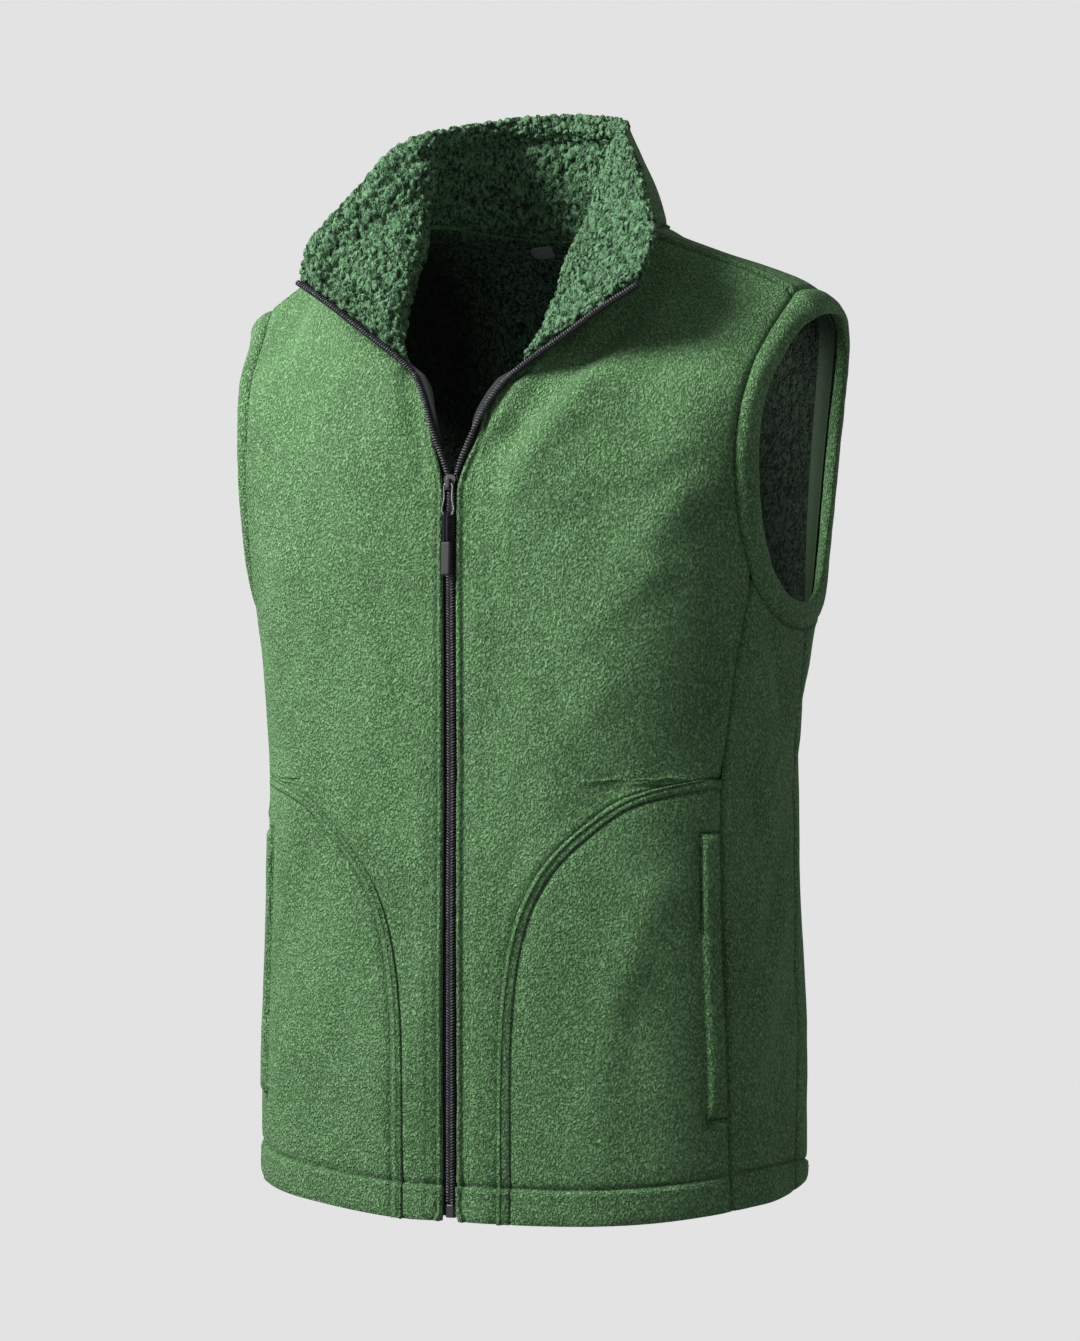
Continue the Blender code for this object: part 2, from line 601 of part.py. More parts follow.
# ------------------------------------------------------------------ armholes
def armhole_seam():
    """The armhole seam as places at the panels' own corners: shoulder, down the front, up the back."""
    front = line_by_rise(ARMHOLE_FRONT, CHEST_ROWS)[::-1] + [(0.799, PRINCESS_TOP)]
    width = math.hypot((1.070 - 0.799) * QUARTER, ARMHOLE_LOW - PRINCESS_TOP)
    reach = [d for d, _ in PLAIN_EDGE]
    bottom = [tuple(armhole_low_place(share)) for share in spread(width, reach, reach, SIDE_COLUMNS)[1:]]
    back = line_by_rise(ARMHOLE_BACK, BACK_ARM_ROWS)[:-1]
    return front + bottom + back


def armhole_edge(count=200):
    """The band's finished edge as a closed line of points."""
    loop = np.array([body_point(g, r) for g, r in ARMHOLE_EDGE])
    size = len(loop)
    fine = []
    for i in range(size):
        p0, p1, p2, p3 = (loop[(i + k - 1) % size] for k in range(4))
        for t in np.linspace(0.0, 1.0, count // size, endpoint=False):
            fine.append(0.5 * (2 * p1 + (p2 - p0) * t + (2 * p0 - 5 * p1 + 4 * p2 - p3) * t * t
                               + (3 * p1 - p0 - 3 * p2 + p3) * t ** 3))
    return fine


# section of the padded band: share of the way from seam to edge, height off the cloth's face
BAND_SECTION = (
    (0.00, -0.0012), (0.14, 0.0017), (0.45, 0.0036), (0.82, 0.0020), (1.00, -0.0018), (0.86, -0.0046),
    (0.45, -0.0054), (0.00, -0.0048),
)
FACING_IN = 0.013       # how far the facing runs in behind the panel
FACING_OUT = 0.0090     # and behind the band
FACING_THICK = 0.0013
FACING_GAP = 0.0012     # clear of the panel's pile
FACING_DEPTH = 0.0060   # below the seam, behind the band


def armhole_rings(side):
    """For each place of an armhole's seam: point, outward direction, and the way to the finished edge."""
    edge = armhole_edge()
    rows = []
    for girth, rise in armhole_seam():
        point, _, _, out = body_frame(girth, rise)
        point = point + out * fold_height(side * girth, rise)
        nearest = min(edge, key=lambda e: np.linalg.norm(e - point))
        rows.append((point, out, nearest - point))
    return rows


def on_panel(tree, girth, rise, depth, clear):
    """The panels' point nearest to a place, moved clear of it outward, and the outward direction."""
    point, _, _, out = body_frame(girth, rise)
    found = tree.find_nearest(point + out * depth)[0]
    return np.array(found) + out * clear, out


def make_armhole(cloth, plain, side, inner):
    band = []
    facing = []
    seam = armhole_seam()
    lines = zip(seam, shifted(seam, -FACING_IN / 2), shifted(seam, -FACING_IN))
    for (point, out, across), places in zip(armhole_rings(side), lines):
        width = np.linalg.norm(across)
        step = across / width
        tilted = out - step * np.dot(out, step)
        tilted /= np.linalg.norm(tilted)
        start = point + step * SEAM_GAP
        section = []
        for share, height in BAND_SECTION:
            up = out * (1.0 - share) + tilted * share
            section.append(start + step * (width * share) + up * height)
        band.append(section)
        (near, out0), (middle, out1), (far, out2) = [
            on_panel(inner, girth, min(rise, SHOULDER), -CLOTH, -FACING_GAP) for girth, rise in places]
        reach = point + step * FACING_OUT - tilted * FACING_DEPTH
        facing.append([
            far, middle, near, reach, reach - tilted * FACING_THICK, near - out0 * FACING_THICK,
            middle - out1 * FACING_THICK, far - out2 * FACING_THICK,
        ])
    add_side("armhole_band", side, *sweep(band, closed=True), cloth)
    add_side("armhole_facing", side, *sweep(facing, closed=True), plain)


# ------------------------------------------------------------------ collar
def neckline():
    """Points of the neckline from centre back to the front end, and how far along it each lies, 0 to 1."""
    half_width = ring_at(SHOULDER)[0]
    places = []
    for x, rise in NECK_BACK[:-1]:
        places.append((2.0 - float(np.interp(x / half_width, WIDTH_SHARE, GIRTH_SHARE)), rise))
    for rise, x in NECK_FRONT[::-1]:
        places.append((girth_at(x, rise), rise))
    points = np.array([body_point(g, r) for g, r in places])
    length = np.concatenate(([0.0], np.cumsum(np.linalg.norm(np.diff(points, axis=0), axis=1))))
    return points, length / length[-1]


NECK_POINTS, NECK_SHARES = neckline()


def collar_base(station):
    return np.array([along(station, NECK_SHARES, NECK_POINTS[:, k]) for k in range(3)])


def collar_point(station, up):
    """A point of the collar's fleece face; station 0 centre back to 1 (left) or -1 (right)."""
    side = 1.0 if station >= 0 else -1.0
    station = abs(station)
    base = collar_base(station)
    tiers = [base] + [np.array([along(station, COLLAR_SECTIONS[:, 0], COLLAR_SECTIONS[:, 1 + 3 * tier + k])
                                for k in range(3)]) for tier in range(3)]
    tiers = np.array(tiers)
    marks = np.array((0.0, 1 / 3, 2 / 3, 1.0))
    point = np.array([along(up, marks, tiers[:, k]) for k in range(3)])
    point[0] *= side
    return point


def collar_frame(station, up, step=0.01):
    here = collar_point(station, up)
    low = max(up - step, 0.0)
    high = min(up + step, 1.0)
    back = max(station - step, -1.0)
    ahead = min(station + step, 1.0)
    rising = collar_point(station, high) - collar_point(station, low)
    going = collar_point(ahead, up) - collar_point(back, up)
    rising /= np.linalg.norm(rising)
    going /= np.linalg.norm(going)
    inward = np.cross(going, rising)
    return here, going, rising, inward / np.linalg.norm(inward)


COLLAR_STATIONS = (0.0, 0.09, 0.18, 0.27, 0.36, 0.44, 0.51, 0.57, 0.63, 0.68, 0.73, 0.78, 0.83, 0.88,
                   0.92, 0.96, 0.985, 1.0)
COLLAR_UPS = (0.0, 0.08, 0.2, 0.34, 0.48, 0.62, 0.74, 0.80, 0.88, 0.95, 1.0)
# thickness of the collar up its height: share, thickness
COLLAR_BODY = np.array((
    (0.0, 0.0050), (0.1, COLLAR_CLOTH), (0.70, COLLAR_CLOTH), (0.77, 0.0055), (0.88, 0.0088), (1.0, 0.0050),
))


def make_collar(cloth):
    stations = [-s for s in reversed(COLLAR_STATIONS[1:])] + list(COLLAR_STATIONS)
    outer = []
    inner = []
    for up in COLLAR_UPS:
        thick = along(up, COLLAR_BODY[:, 0], COLLAR_BODY[:, 1])
        out_row = []
        in_row = []
        for station in stations:
            point, _, rising, inward = collar_frame(station, up)
            point = point + inward * COLLAR_SEAT + rising * COLLAR_SEAT * (1.0 - up)
            out_row.append(point)
            in_row.append(point + inward * thick)
        outer.append(out_row)
        inner.append(in_row)
    add_object("collar", *wall(outer, inner), cloth)


# ------------------------------------------------------------------ pocket welts and neck tab
WELT_LOW, WELT_HIGH, WELT_THICK = -0.630, -0.430, 0.0017
WELT_COLUMNS = (0.0155, 0.0135, SEAM_ROLL, 0.0030, 0.0010)    # metres in from the princess seam


def make_welt(cloth, side, face):
    outer = []
    inner = []
    for rise in np.linspace(WELT_LOW, WELT_HIGH, 8):
        seam = along(rise, PRINCESS[:, 0], PRINCESS[:, 1])
        out_row = []
        in_row = []
        for off in WELT_COLUMNS:
            point, outward = on_panel(face, seam - off / QUARTER, rise, 0.0, SEAM_GAP)
            edge = off in (WELT_COLUMNS[0], WELT_COLUMNS[-1])
            out_row.append(point + outward * WELT_THICK * (0.55 if edge else 1.0))
            in_row.append(point)
        outer.append(out_row)
        inner.append(in_row)
    add_side("pocket_welt", side, *wall(outer, inner), cloth)


LOOP_GIRTH, LOOP_TOP, LOOP_WIDTH, LOOP_DROP, LOOP_THICK = 2.118, 0.0015, 0.015, 0.014, 0.0016


def make_neck_loop(webbing, back):
    outer = []
    inner = []
    for rise in np.linspace(LOOP_TOP - LOOP_DROP, LOOP_TOP, 4):
        out_row = []
        in_row = []
        for off in (-LOOP_WIDTH / 2, 0.0, LOOP_WIDTH / 2):
            point, outward = on_panel(back, LOOP_GIRTH + off / QUARTER, rise, -CLOTH, -0.0005)
            out_row.append(point)
            in_row.append(point - outward * LOOP_THICK)
        outer.append(out_row)
        inner.append(in_row)
    add_object("neck_loop", *wall(outer, inner), webbing)


# ------------------------------------------------------------------ zip
# the open zip beside the neck: rise, coil's distance from the centre, height, tape's root, tape's free edge
# (out from the coil, height)
OPEN_ZIP = np.array((
    (-0.1812, 0.0032, -0.0039, 0.0000, -0.0057, 0.0085, -0.0057),
    (-0.1720, 0.0066, -0.0022, 0.0000, -0.0040, 0.0060, -0.0060),
    (-0.1630, 0.0106, -0.0004, 0.0000, -0.0022, 0.0035, -0.0060),
    (-0.1540, 0.0150, 0.0014, -0.0004, -0.0004, -0.0020, -0.0045),
    (-0.1460, 0.0184, 0.0026, 0.0000, 0.0008, -0.0050, -0.0012),
    (-0.1380, 0.0218, 0.0031, 0.0008, 0.0013, -0.0060, 0.0013),
    (-0.1300, 0.0254, 0.0031, 0.0012, 0.0013, -0.0066, 0.0013),
    (-0.1200, 0.0308, 0.0031, 0.0012, 0.0013, -0.0074, 0.0013),
    (-0.1100, 0.0372, 0.0031, 0.0012, 0.0013, -0.0078, 0.0013),
))
COIL_HALF = 0.0034      # width of one side of the open coil
OPEN_STEPS = 14         # sections up to the collar
COLLAR_COIL_OUT = 0.0050        # the coil's middle in front of the collar's front edge
COLLAR_TAPE = (0.0062, 0.0005)  # the tape's root and free edge, measured in the same way
COLLAR_TAPE_DROP = 0.0022       # the tape's middle below the coil's
COLLAR_ZIP_UPS = (0.06, 0.2, 0.35, 0.5, 0.65, 0.8, 0.92, 0.995)
ZIP_STEPS = 22          # sections of the closed length
BOX_WIDTH, BOX_THICK, BOX_LENGTH = 0.0086, 0.0030, 0.0090
BOX_LOW = 0.0020        # box, coil and tape above the hem's edge
COIL_LOW = 0.0120
TAPE_LOW = 0.0030


def bar_section(point, across, out, width, thick):
    """Six-sided section, flat below and chamfered above."""
    half = width / 2
    edge = width * 0.28
    marks = ((-half, -thick * 0.2), (-edge, thick / 2), (edge, thick / 2), (half, -thick * 0.2),
             (half * 0.9, -thick / 2), (-half * 0.9, -thick / 2))
    return [point + across * a + out * b for a, b in marks]


def strip_section(root, free, thickness_way, thick):
    half = thickness_way * thick / 2
    return [root + half, free + half, free - half, root - half]


def open_zip_sections():
    """Sections of the left side's open coil and tape: beside the neck, then along the collar's front."""
    coil = []
    tape = []
    for rise in np.linspace(OPEN_ZIP[0, 0], OPEN_ZIP[-1, 0], OPEN_STEPS):
        x, height, root, root_height, free, free_height = [along(rise, OPEN_ZIP[:, 0], OPEN_ZIP[:, k])
                                                           for k in range(1, 7)]
        point, across, upward, out = body_frame(girth_at(x, rise), rise)
        coil.append(bar_section(point + out * height, across, out, COIL_HALF, COIL_THICK))
        a = point + across * root + out * root_height
        b = point + across * free + out * free_height
        way = np.cross(b - a, upward)
        way /= np.linalg.norm(way)
        tape.append(strip_section(a, b, way, TAPE_THICK))
    for up in COLLAR_ZIP_UPS:
        point, going, rising, inward = collar_frame(1.0, up)
        ahead = going - rising * np.dot(going, rising)
        ahead /= np.linalg.norm(ahead)
        middle = point + inward * (COLLAR_SEAT + COLLAR_CLOTH * 0.45)
        coil.append(bar_section(middle + ahead * COLLAR_COIL_OUT, ahead, inward, COIL_HALF, COIL_THICK))
        root, free = [middle - inward * COLLAR_TAPE_DROP + ahead * out for out in COLLAR_TAPE]
        tape.append(strip_section(root, free, -inward, TAPE_THICK))
    return coil, tape


def make_zip(coil_finish, tape_finish, metal):
    coil, tape = open_zip_sections()
    for side in (1, -1):
        add_side("zip_coil", side, *sweep(coil), coil_finish)
    low_tape = []
    closed = []
    for rise in np.linspace(HEM + COIL_LOW, SLIDER_RISE - 0.0065, ZIP_STEPS):
        point, across, _, out = body_frame(0.0, rise)
        closed.append(bar_section(point + out * COIL_DEPTH, across, out, COIL_WIDTH, COIL_THICK))
    add_object("zip_coil_closed", *sweep(closed), coil_finish)
    for rise in list(np.linspace(HEM + TAPE_LOW, SLIDER_RISE - 0.0070, ZIP_STEPS)) + [SLIDER_RISE - 0.0030]:
        point, across, _, out = body_frame(0.0, rise)
        start = 0.0003 if rise < SLIDER_RISE - 0.004 else 0.0017
        root = point + across * start + out * TAPE_DEPTH
        free = point + across * TAPE_REACH + out * TAPE_DEPTH
        low_tape.append(strip_section(root, free, out, TAPE_THICK))
    for side in (1, -1):
        add_side("zip_tape", side, *sweep(low_tape + tape), tape_finish)
    box = []
    for rise in (HEM + BOX_LOW, HEM + BOX_LOW + BOX_LENGTH):
        point, across, _, out = body_frame(0.0, rise)
        box.append(bar_section(point + out * (COIL_DEPTH + 0.0005), across, out, BOX_WIDTH, BOX_THICK))
    add_object("zip_box", *sweep(box), metal)


# ------------------------------------------------------------------ slider and pull, in the slider's frame
def slider_matrix():
    """Slider's frame: x across, y up the zip, z outward; its origin on the cloth's face."""
    point, across, up, out = body_frame(0.0, SLIDER_RISE)
    columns = np.array((across, up, out, settle(point))).T
    return Matrix([list(columns[0]), list(columns[1]), list(columns[2]), [0.0, 0.0, 0.0, 1.0]])


PIN_UP = -0.0012        # pull's pin, up the zip from the slider's middle
PIN_OUT = 0.0012        # and out from the cloth's face
PIN_RADIUS = 0.0006
LEAN = math.radians(1.5)


def bevelled_block(name, size, place, bevel, finish):
    mesh = bpy.data.meshes.new(name)
    work = bmesh.new()
    bmesh.ops.create_cube(work, size=1.0)
    for corner in work.verts:
        corner.co = [corner.co[k] * size[k] + place[k] for k in range(3)]
    bmesh.ops.bevel(work, geom=list(work.edges), offset=bevel, segments=1, affect='EDGES')
    work.to_mesh(mesh)
    work.free()
    mesh.materials.append(finish)
    block = bpy.data.objects.new(name, mesh)
    bpy.context.scene.collection.objects.link(block)
    return block


def join_or_cut(target, other, operation):
    """Apply a Boolean and remove the other object."""
    change = target.modifiers.new("shape", 'BOOLEAN')
    change.object = other
    change.operation = operation
    change.solver = 'EXACT'
    bpy.context.view_layer.update()
    done = bpy.data.meshes.new_from_object(target.evaluated_get(bpy.context.evaluated_depsgraph_get()))
    target.modifiers.clear()
    target.data = done
    bpy.data.objects.remove(other)


def slider_plate(name, front, finish):
    """A plate that is wide at the shoulders and narrow at the mouth."""
    half = ((0.0034, -0.0050), (0.0037, -0.0010), (0.0048, 0.0020), (0.0042, 0.0042), (0.0020, 0.0054))
    outline = half + tuple((-x, y) for x, y in reversed(half))
    low, high = (-0.0026, -0.0006) if front else (-0.0082, -0.0065)
    mesh = bpy.data.meshes.new(name)
    work = bmesh.new()
    bottom = [work.verts.new((x, y, low)) for x, y in outline]
    face = work.faces.new(bottom)
    raised = bmesh.ops.extrude_face_region(work, geom=[face])
    for item in raised["geom"]:
        if isinstance(item, bmesh.types.BMVert):
            item.co.z = high
    bmesh.ops.recalc_face_normals(work, faces=work.faces)
    work.to_mesh(mesh)
    work.free()
    mesh.materials.append(finish)
    plate = bpy.data.objects.new(name, mesh)
    bpy.context.scene.collection.objects.link(plate)
    return plate


def make_slider(metal):
    slider = slider_plate("zip_slider", True, metal)
    join_or_cut(slider, slider_plate("rear_plate", False, metal), 'UNION')
    post = bevelled_block("post", (0.0022, 0.0022, 0.0060), (0.0, 0.0038, -0.0048), 0.0002, metal)
    join_or_cut(slider, post, 'UNION')
    crown = bevelled_block("crown", (0.0030, 0.0072, 0.0046), (0.0, -0.0008, 0.0009), 0.0006, metal)
    join_or_cut(slider, crown, 'UNION')
    mesh = bpy.data.meshes.new("eye")
    work = bmesh.new()
    bmesh.ops.create_cone(work, cap_ends=True, segments=8, radius1=0.0011, radius2=0.0011, depth=0.010)
    work.to_mesh(mesh)
    work.free()
    eye = bpy.data.objects.new("eye", mesh)
    bpy.context.scene.collection.objects.link(eye)
    eye.matrix_world = Matrix.Translation((0.0, PIN_UP, PIN_OUT)) @ Matrix.Rotation(math.pi / 2, 4, 'Y')
    join_or_cut(slider, eye, 'DIFFERENCE')
    slider.data.transform(slider_matrix())


def tube(name, points, radius, closed, finish, parent, sides=6):
    """A round wire or cord through points in the pull's frame."""
    loop = [np.array(p) for p in points]
    count = len(loop)
    sections = []
    for i, here in enumerate(loop):
        before = loop[(i - 1) % count] if closed else loop[max(i - 1, 0)]
        after = loop[(i + 1) % count] if closed else loop[min(i + 1, count - 1)]
        way = (after - before) / np.linalg.norm(after - before)
        plane_normal = np.array((0.0, 0.0, 1.0)) if closed else np.array((1.0, 0.0, 0.0))
        side = np.cross(plane_normal, way)
        side /= np.linalg.norm(side)
        ring = []
        for k in range(sides):
            turn = 2 * math.pi * (k + 0.5) / sides
            ring.append(here + side * radius * math.cos(turn) + plane_normal * radius * math.sin(turn))
        sections.append(ring)
    points, faces = sweep(sections, closed)
    mesh = bpy.data.meshes.new(name)
    work = bmesh.new()
    corners = [work.verts.new(p) for p in points]
    for face in faces:
        work.faces.new([corners[i] for i in face])
    bmesh.ops.recalc_face_normals(work, faces=work.faces)
    work.to_mesh(mesh)
    work.free()
    mesh.shade_smooth()
    mesh.materials.append(finish)
    piece = bpy.data.objects.new(name, mesh)
    bpy.context.scene.collection.objects.link(piece)
    piece.parent = parent
    return piece


BAIL_LENGTH = 0.0222
BAIL_PIN_HALF = 0.0028
CORD_RADIUS = 0.00115
TAB_TOP = -0.0400
TAB_SIZE = (0.0074, 0.0235, 0.0048)
# right half of the bail below its pin: out, up
BAIL_HALF = ((0.0033, -0.0006), (0.0034, -0.0040), (0.0029, -0.0105), (0.0040, -0.0140), (0.0050, -0.0172),
             (0.0043, -0.0203), (0.0023, -0.0219))


def make_pull(metal, cord_finish, tab_finish):
    """Bail, cords and tab hang from an empty on the pin's axis."""
    hinge = bpy.data.objects.new("pull_hinge", None)
    bpy.context.scene.collection.objects.link(hinge)
    hinge.matrix_world = (slider_matrix() @ Matrix.Translation((0.0, PIN_UP, PIN_OUT))
                          @ Matrix.Rotation(LEAN, 4, 'X'))
    right = [(x, y, 0.0) for x, y in BAIL_HALF]
    left = [(-x, y, 0.0) for x, y in reversed(BAIL_HALF)]
    pin = BAIL_PIN_HALF
    ring = [(0.0, 0.0, 0.0), (pin, 0.0, 0.0)] + right + [(0.0, -BAIL_LENGTH, 0.0)] + left + [(-pin, 0.0, 0.0)]
    tube("pull_bail", ring, PIN_RADIUS, True, metal, hinge)
    reach = PIN_RADIUS + SEAM_GAP + CORD_RADIUS
    for name, x in (("pull_cord_L", 0.00135), ("pull_cord_R", -0.00135)):
        route = [(x, TAB_TOP, 0.0013), (x, -0.0320, 0.0016), (x, -0.0262, reach)]
        route += [(x, -BAIL_LENGTH + reach * math.sin(a), reach * math.cos(a))
                  for a in np.linspace(0.0, math.pi, 7)]
        route += [(x, -0.0262, -reach), (x, -0.0320, -0.0016), (x, TAB_TOP, -0.0013)]
        tube(name, route, CORD_RADIUS, False, cord_finish, hinge)
    centre = (0.0, TAB_TOP - SEAM_GAP - TAB_SIZE[1] / 2, 0.0)
    tab = bevelled_block("pull_tab", TAB_SIZE, centre, 0.0009, tab_finish)
    tab.parent = hinge


def main():
    for old in list(bpy.data.objects):
        bpy.data.objects.remove(old)
    fleece = material("green_fleece", (0.105, 0.235, 0.090), 0.95)
    sherpa = material("green_sherpa", (0.125, 0.270, 0.120), 1.0)
    facing = material("smooth_knit", (0.060, 0.140, 0.052), 0.85)
    black_tape = material("woven_tape", (0.012, 0.012, 0.013), 0.8)
    nylon = material("nylon_coil", (0.020, 0.020, 0.022), 0.45)
    painted = material("painted_zinc", (0.045, 0.045, 0.048), 0.35, 0.8)
    steel = material("steel_wire", (0.42, 0.42, 0.44), 0.3, 1.0)
    rubber = material("moulded_pvc", (0.030, 0.030, 0.032), 0.6)
    back = make_back(fleece)
    for side in (1, -1):
        front = make_front(fleece, side)
        pocket = make_pocket_panel(fleece, side)
        side_front = make_side_front(fleece, side)
        half = back[1] if side > 0 else [mirrored(row) for row in back[1]]
        make_armhole(fleece, facing, side, panel_tree([front[1], side_front[1], half]))
        make_welt(fleece, side, panel_tree([pocket[0]]))
    make_collar(sherpa)
    make_neck_loop(black_tape, panel_tree([back[1]]))
    make_zip(nylon, black_tape, painted)
    make_slider(painted)
    make_pull(steel, black_tape, rubber)


main()
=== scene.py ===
# %% [markdown]
# # A fleece vest, open at the neck
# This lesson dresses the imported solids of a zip-front vest. The solids give every piece its
# place and its size. Each cell makes one thing finer than the solids can hold: the roll of a
# cut edge, the dent of a stitch line, curled pile, the coil of the zip, light and camera.

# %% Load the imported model
import math

import bmesh
import bpy
import numpy as np
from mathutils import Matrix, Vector
from mathutils.bvhtree import BVHTree
from mathutils.kdtree import KDTree


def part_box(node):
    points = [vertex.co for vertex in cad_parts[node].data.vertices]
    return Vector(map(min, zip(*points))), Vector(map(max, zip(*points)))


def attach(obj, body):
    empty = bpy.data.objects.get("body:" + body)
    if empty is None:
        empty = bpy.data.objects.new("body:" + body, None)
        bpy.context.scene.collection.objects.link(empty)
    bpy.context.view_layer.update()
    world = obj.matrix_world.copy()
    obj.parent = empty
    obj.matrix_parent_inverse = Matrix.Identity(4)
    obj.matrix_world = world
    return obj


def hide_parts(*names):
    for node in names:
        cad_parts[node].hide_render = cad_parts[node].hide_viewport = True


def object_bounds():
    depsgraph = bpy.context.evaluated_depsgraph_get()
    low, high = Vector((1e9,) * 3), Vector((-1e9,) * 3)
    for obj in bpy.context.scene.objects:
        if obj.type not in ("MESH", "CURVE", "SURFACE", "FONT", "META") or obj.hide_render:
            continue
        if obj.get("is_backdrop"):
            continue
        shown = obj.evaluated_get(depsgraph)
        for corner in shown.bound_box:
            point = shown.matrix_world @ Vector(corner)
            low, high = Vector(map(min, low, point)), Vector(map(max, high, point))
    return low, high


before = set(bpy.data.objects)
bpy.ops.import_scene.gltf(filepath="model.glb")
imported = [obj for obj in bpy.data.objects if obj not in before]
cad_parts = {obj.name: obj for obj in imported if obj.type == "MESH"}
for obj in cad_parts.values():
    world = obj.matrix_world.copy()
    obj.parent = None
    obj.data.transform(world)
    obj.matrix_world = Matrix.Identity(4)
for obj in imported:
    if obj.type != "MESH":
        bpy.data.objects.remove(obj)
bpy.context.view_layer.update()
MM = 0.001
VEST, PULL = "vest", "pull"

# %% [markdown]
# ## Camera
# The vest is seen a little from its wearer's left, from 3 m away and level with the waist, with
# a long lens, so upright lines stay upright. A small shift puts it where it is in the frame.

# %% Place the camera
AZIMUTH = math.radians(29)
EYE = Vector((3.0 * math.sin(AZIMUTH), -3.0 * math.cos(AZIMUTH), -0.366))
LONG_SIDE, PIXELS_PER_TAN = 1341, 4166.7

camera_data = bpy.data.cameras.new("camera")
camera_data.sensor_width = 36
camera_data.lens = 36 * PIXELS_PER_TAN / LONG_SIDE
camera_data.shift_x, camera_data.shift_y = 7 / LONG_SIDE, 69.5 / LONG_SIDE
camera_data.clip_end = 60
camera = bpy.data.objects.new("camera", camera_data)
camera.location = EYE
camera.rotation_euler = (math.radians(90), 0, AZIMUTH)
bpy.context.collection.objects.link(camera)
bpy.context.scene.camera = camera
print("lens in mm:", round(camera_data.lens, 1))

# %% [markdown]
# ## Colour and material helpers
# Colours are written as they look on a screen, in hex. Shaders want linear light, so one
# function turns them. Another adds one node with its settings and its links. Every pattern is
# procedural and laid out in the piece's own metres, so its scale comes from a real size. Sockets
# are named, or numbered from the top: a Map Range takes a value at 0, its range at 1 and 2 and
# the new range at 3 and 4, and a Mix of colours takes a share at 0 and its colours at 6 and 7.


# %% Colour and node helpers
COLOUR_MIX = {"out": 2, "data_type": "RGBA"}


def linear(code):
    """A screen colour such as 7aa172, as the linear colour that a shader wants."""
    parts = [int(code[i:i + 2], 16) / 255 for i in (0, 2, 4)]
    return [c / 12.92 if c <= 0.04045 else ((c + 0.055) / 1.055) ** 2.4 for c in parts] + [1]


def add(tree, kind, inputs=None, out=0, **settings):
    """Adds one node and gives one of its outputs. inputs maps a socket's number or name to a
    value, or to another node's output."""
    made = tree.nodes.new("ShaderNode" + kind)
    for key, value in settings.items():
        setattr(made, key, value)
    for key, value in (inputs or {}).items():
        if isinstance(value, bpy.types.NodeSocket):
            tree.links.new(value, made.inputs[key])
        else:
            made.inputs[key].default_value = value
    return made.outputs[out]


def new_material(name, **constants):
    """A material, its node tree and its shader, with the constant sockets set."""
    material = bpy.data.materials.new(name)
    material.use_nodes = True
    tree = material.node_tree
    shader = tree.nodes["Principled BSDF"]
    for key, value in constants.items():
        shader.inputs[key.replace("_", " ")].default_value = value
    return material, tree, shader


def surface(tree, shader, colour, height, strength, depth):
    """Links a colour and a relief of that depth in metres to the shader."""
    tree.links.new(colour, shader.inputs["Base Color"])
    bump = add(tree, "Bump", {"Strength": strength, "Distance": depth, "Height": height})
    tree.links.new(bump, shader.inputs["Normal"])


def laid_out(tree, size, stretch, turn):
    """The place on the piece, turned, in units of size metres, or longer ones by stretch."""
    place = add(tree, "TexCoord", out="Object")
    scale = [1 / (size * s) for s in stretch]
    inputs = {"Vector": place, "Rotation": turn, "Scale": scale}
    return add(tree, "Mapping", inputs, vector_type="POINT")


def ripple(tree, size, stretch=(1, 1, 1), turn=(0, 0, 0), warp=0.0, detail=2.0):
    """Noise whose blobs are about size metres across, longer where stretch is larger."""
    place = laid_out(tree, size, stretch, turn)
    inputs = {"Vector": place, "Scale": 1.0, "Detail": detail, "Distortion": warp}
    return add(tree, "TexNoise", inputs)


print("white is", linear("ffffff")[:3])

# %% [markdown]
# ## The fleece outside
# Bonded polyester fleece. A knit is brushed, sheared and tumbled, so its fibres stand up and then
# clump into short worm-like tufts. That gives the eye a soft face with no gloss, light tips, dark
# pits between them, and a faint halo of stray fibre where it turns away. The pits' darkness is
# painted: the colour goes darker where the relief is low, as painted shade between the tufts. Real
# tufts lie 1 to 2 mm apart. They are drawn 2.5 mm apart, because finer ones blur at this picture
# size. Polyester's IOR is about 1.54. The roughness is high and the sheen stands for the halo.


# %% Fleece material
TUFT = 2.5 * MM
WIND = 0.54           # width of the winding ridges, in tufts
BRUSHED = 45 * MM     # size of the patches that the brush leaves lighter or darker


def tufts(tree, size, stretch, turn, bend=2.6, gap=0.26):
    """Rounded tufts about size metres across, bent by noise: 0 in the gaps and 1 on top."""
    place = laid_out(tree, size, stretch, turn)
    noise = add(tree, "TexNoise", {"Vector": place, "Scale": 0.7, "Detail": 2.0}, out="Color")
    inputs = {0: noise, 1: (bend, bend, bend), 2: place}
    bent = add(tree, "VectorMath", inputs, operation="MULTIPLY_ADD")
    inputs = {"Vector": bent, "Scale": 1.0}
    edge = add(tree, "TexVoronoi", inputs, out="Distance", feature="DISTANCE_TO_EDGE")
    return add(tree, "MapRange", {0: edge, 1: 0.0, 2: gap})


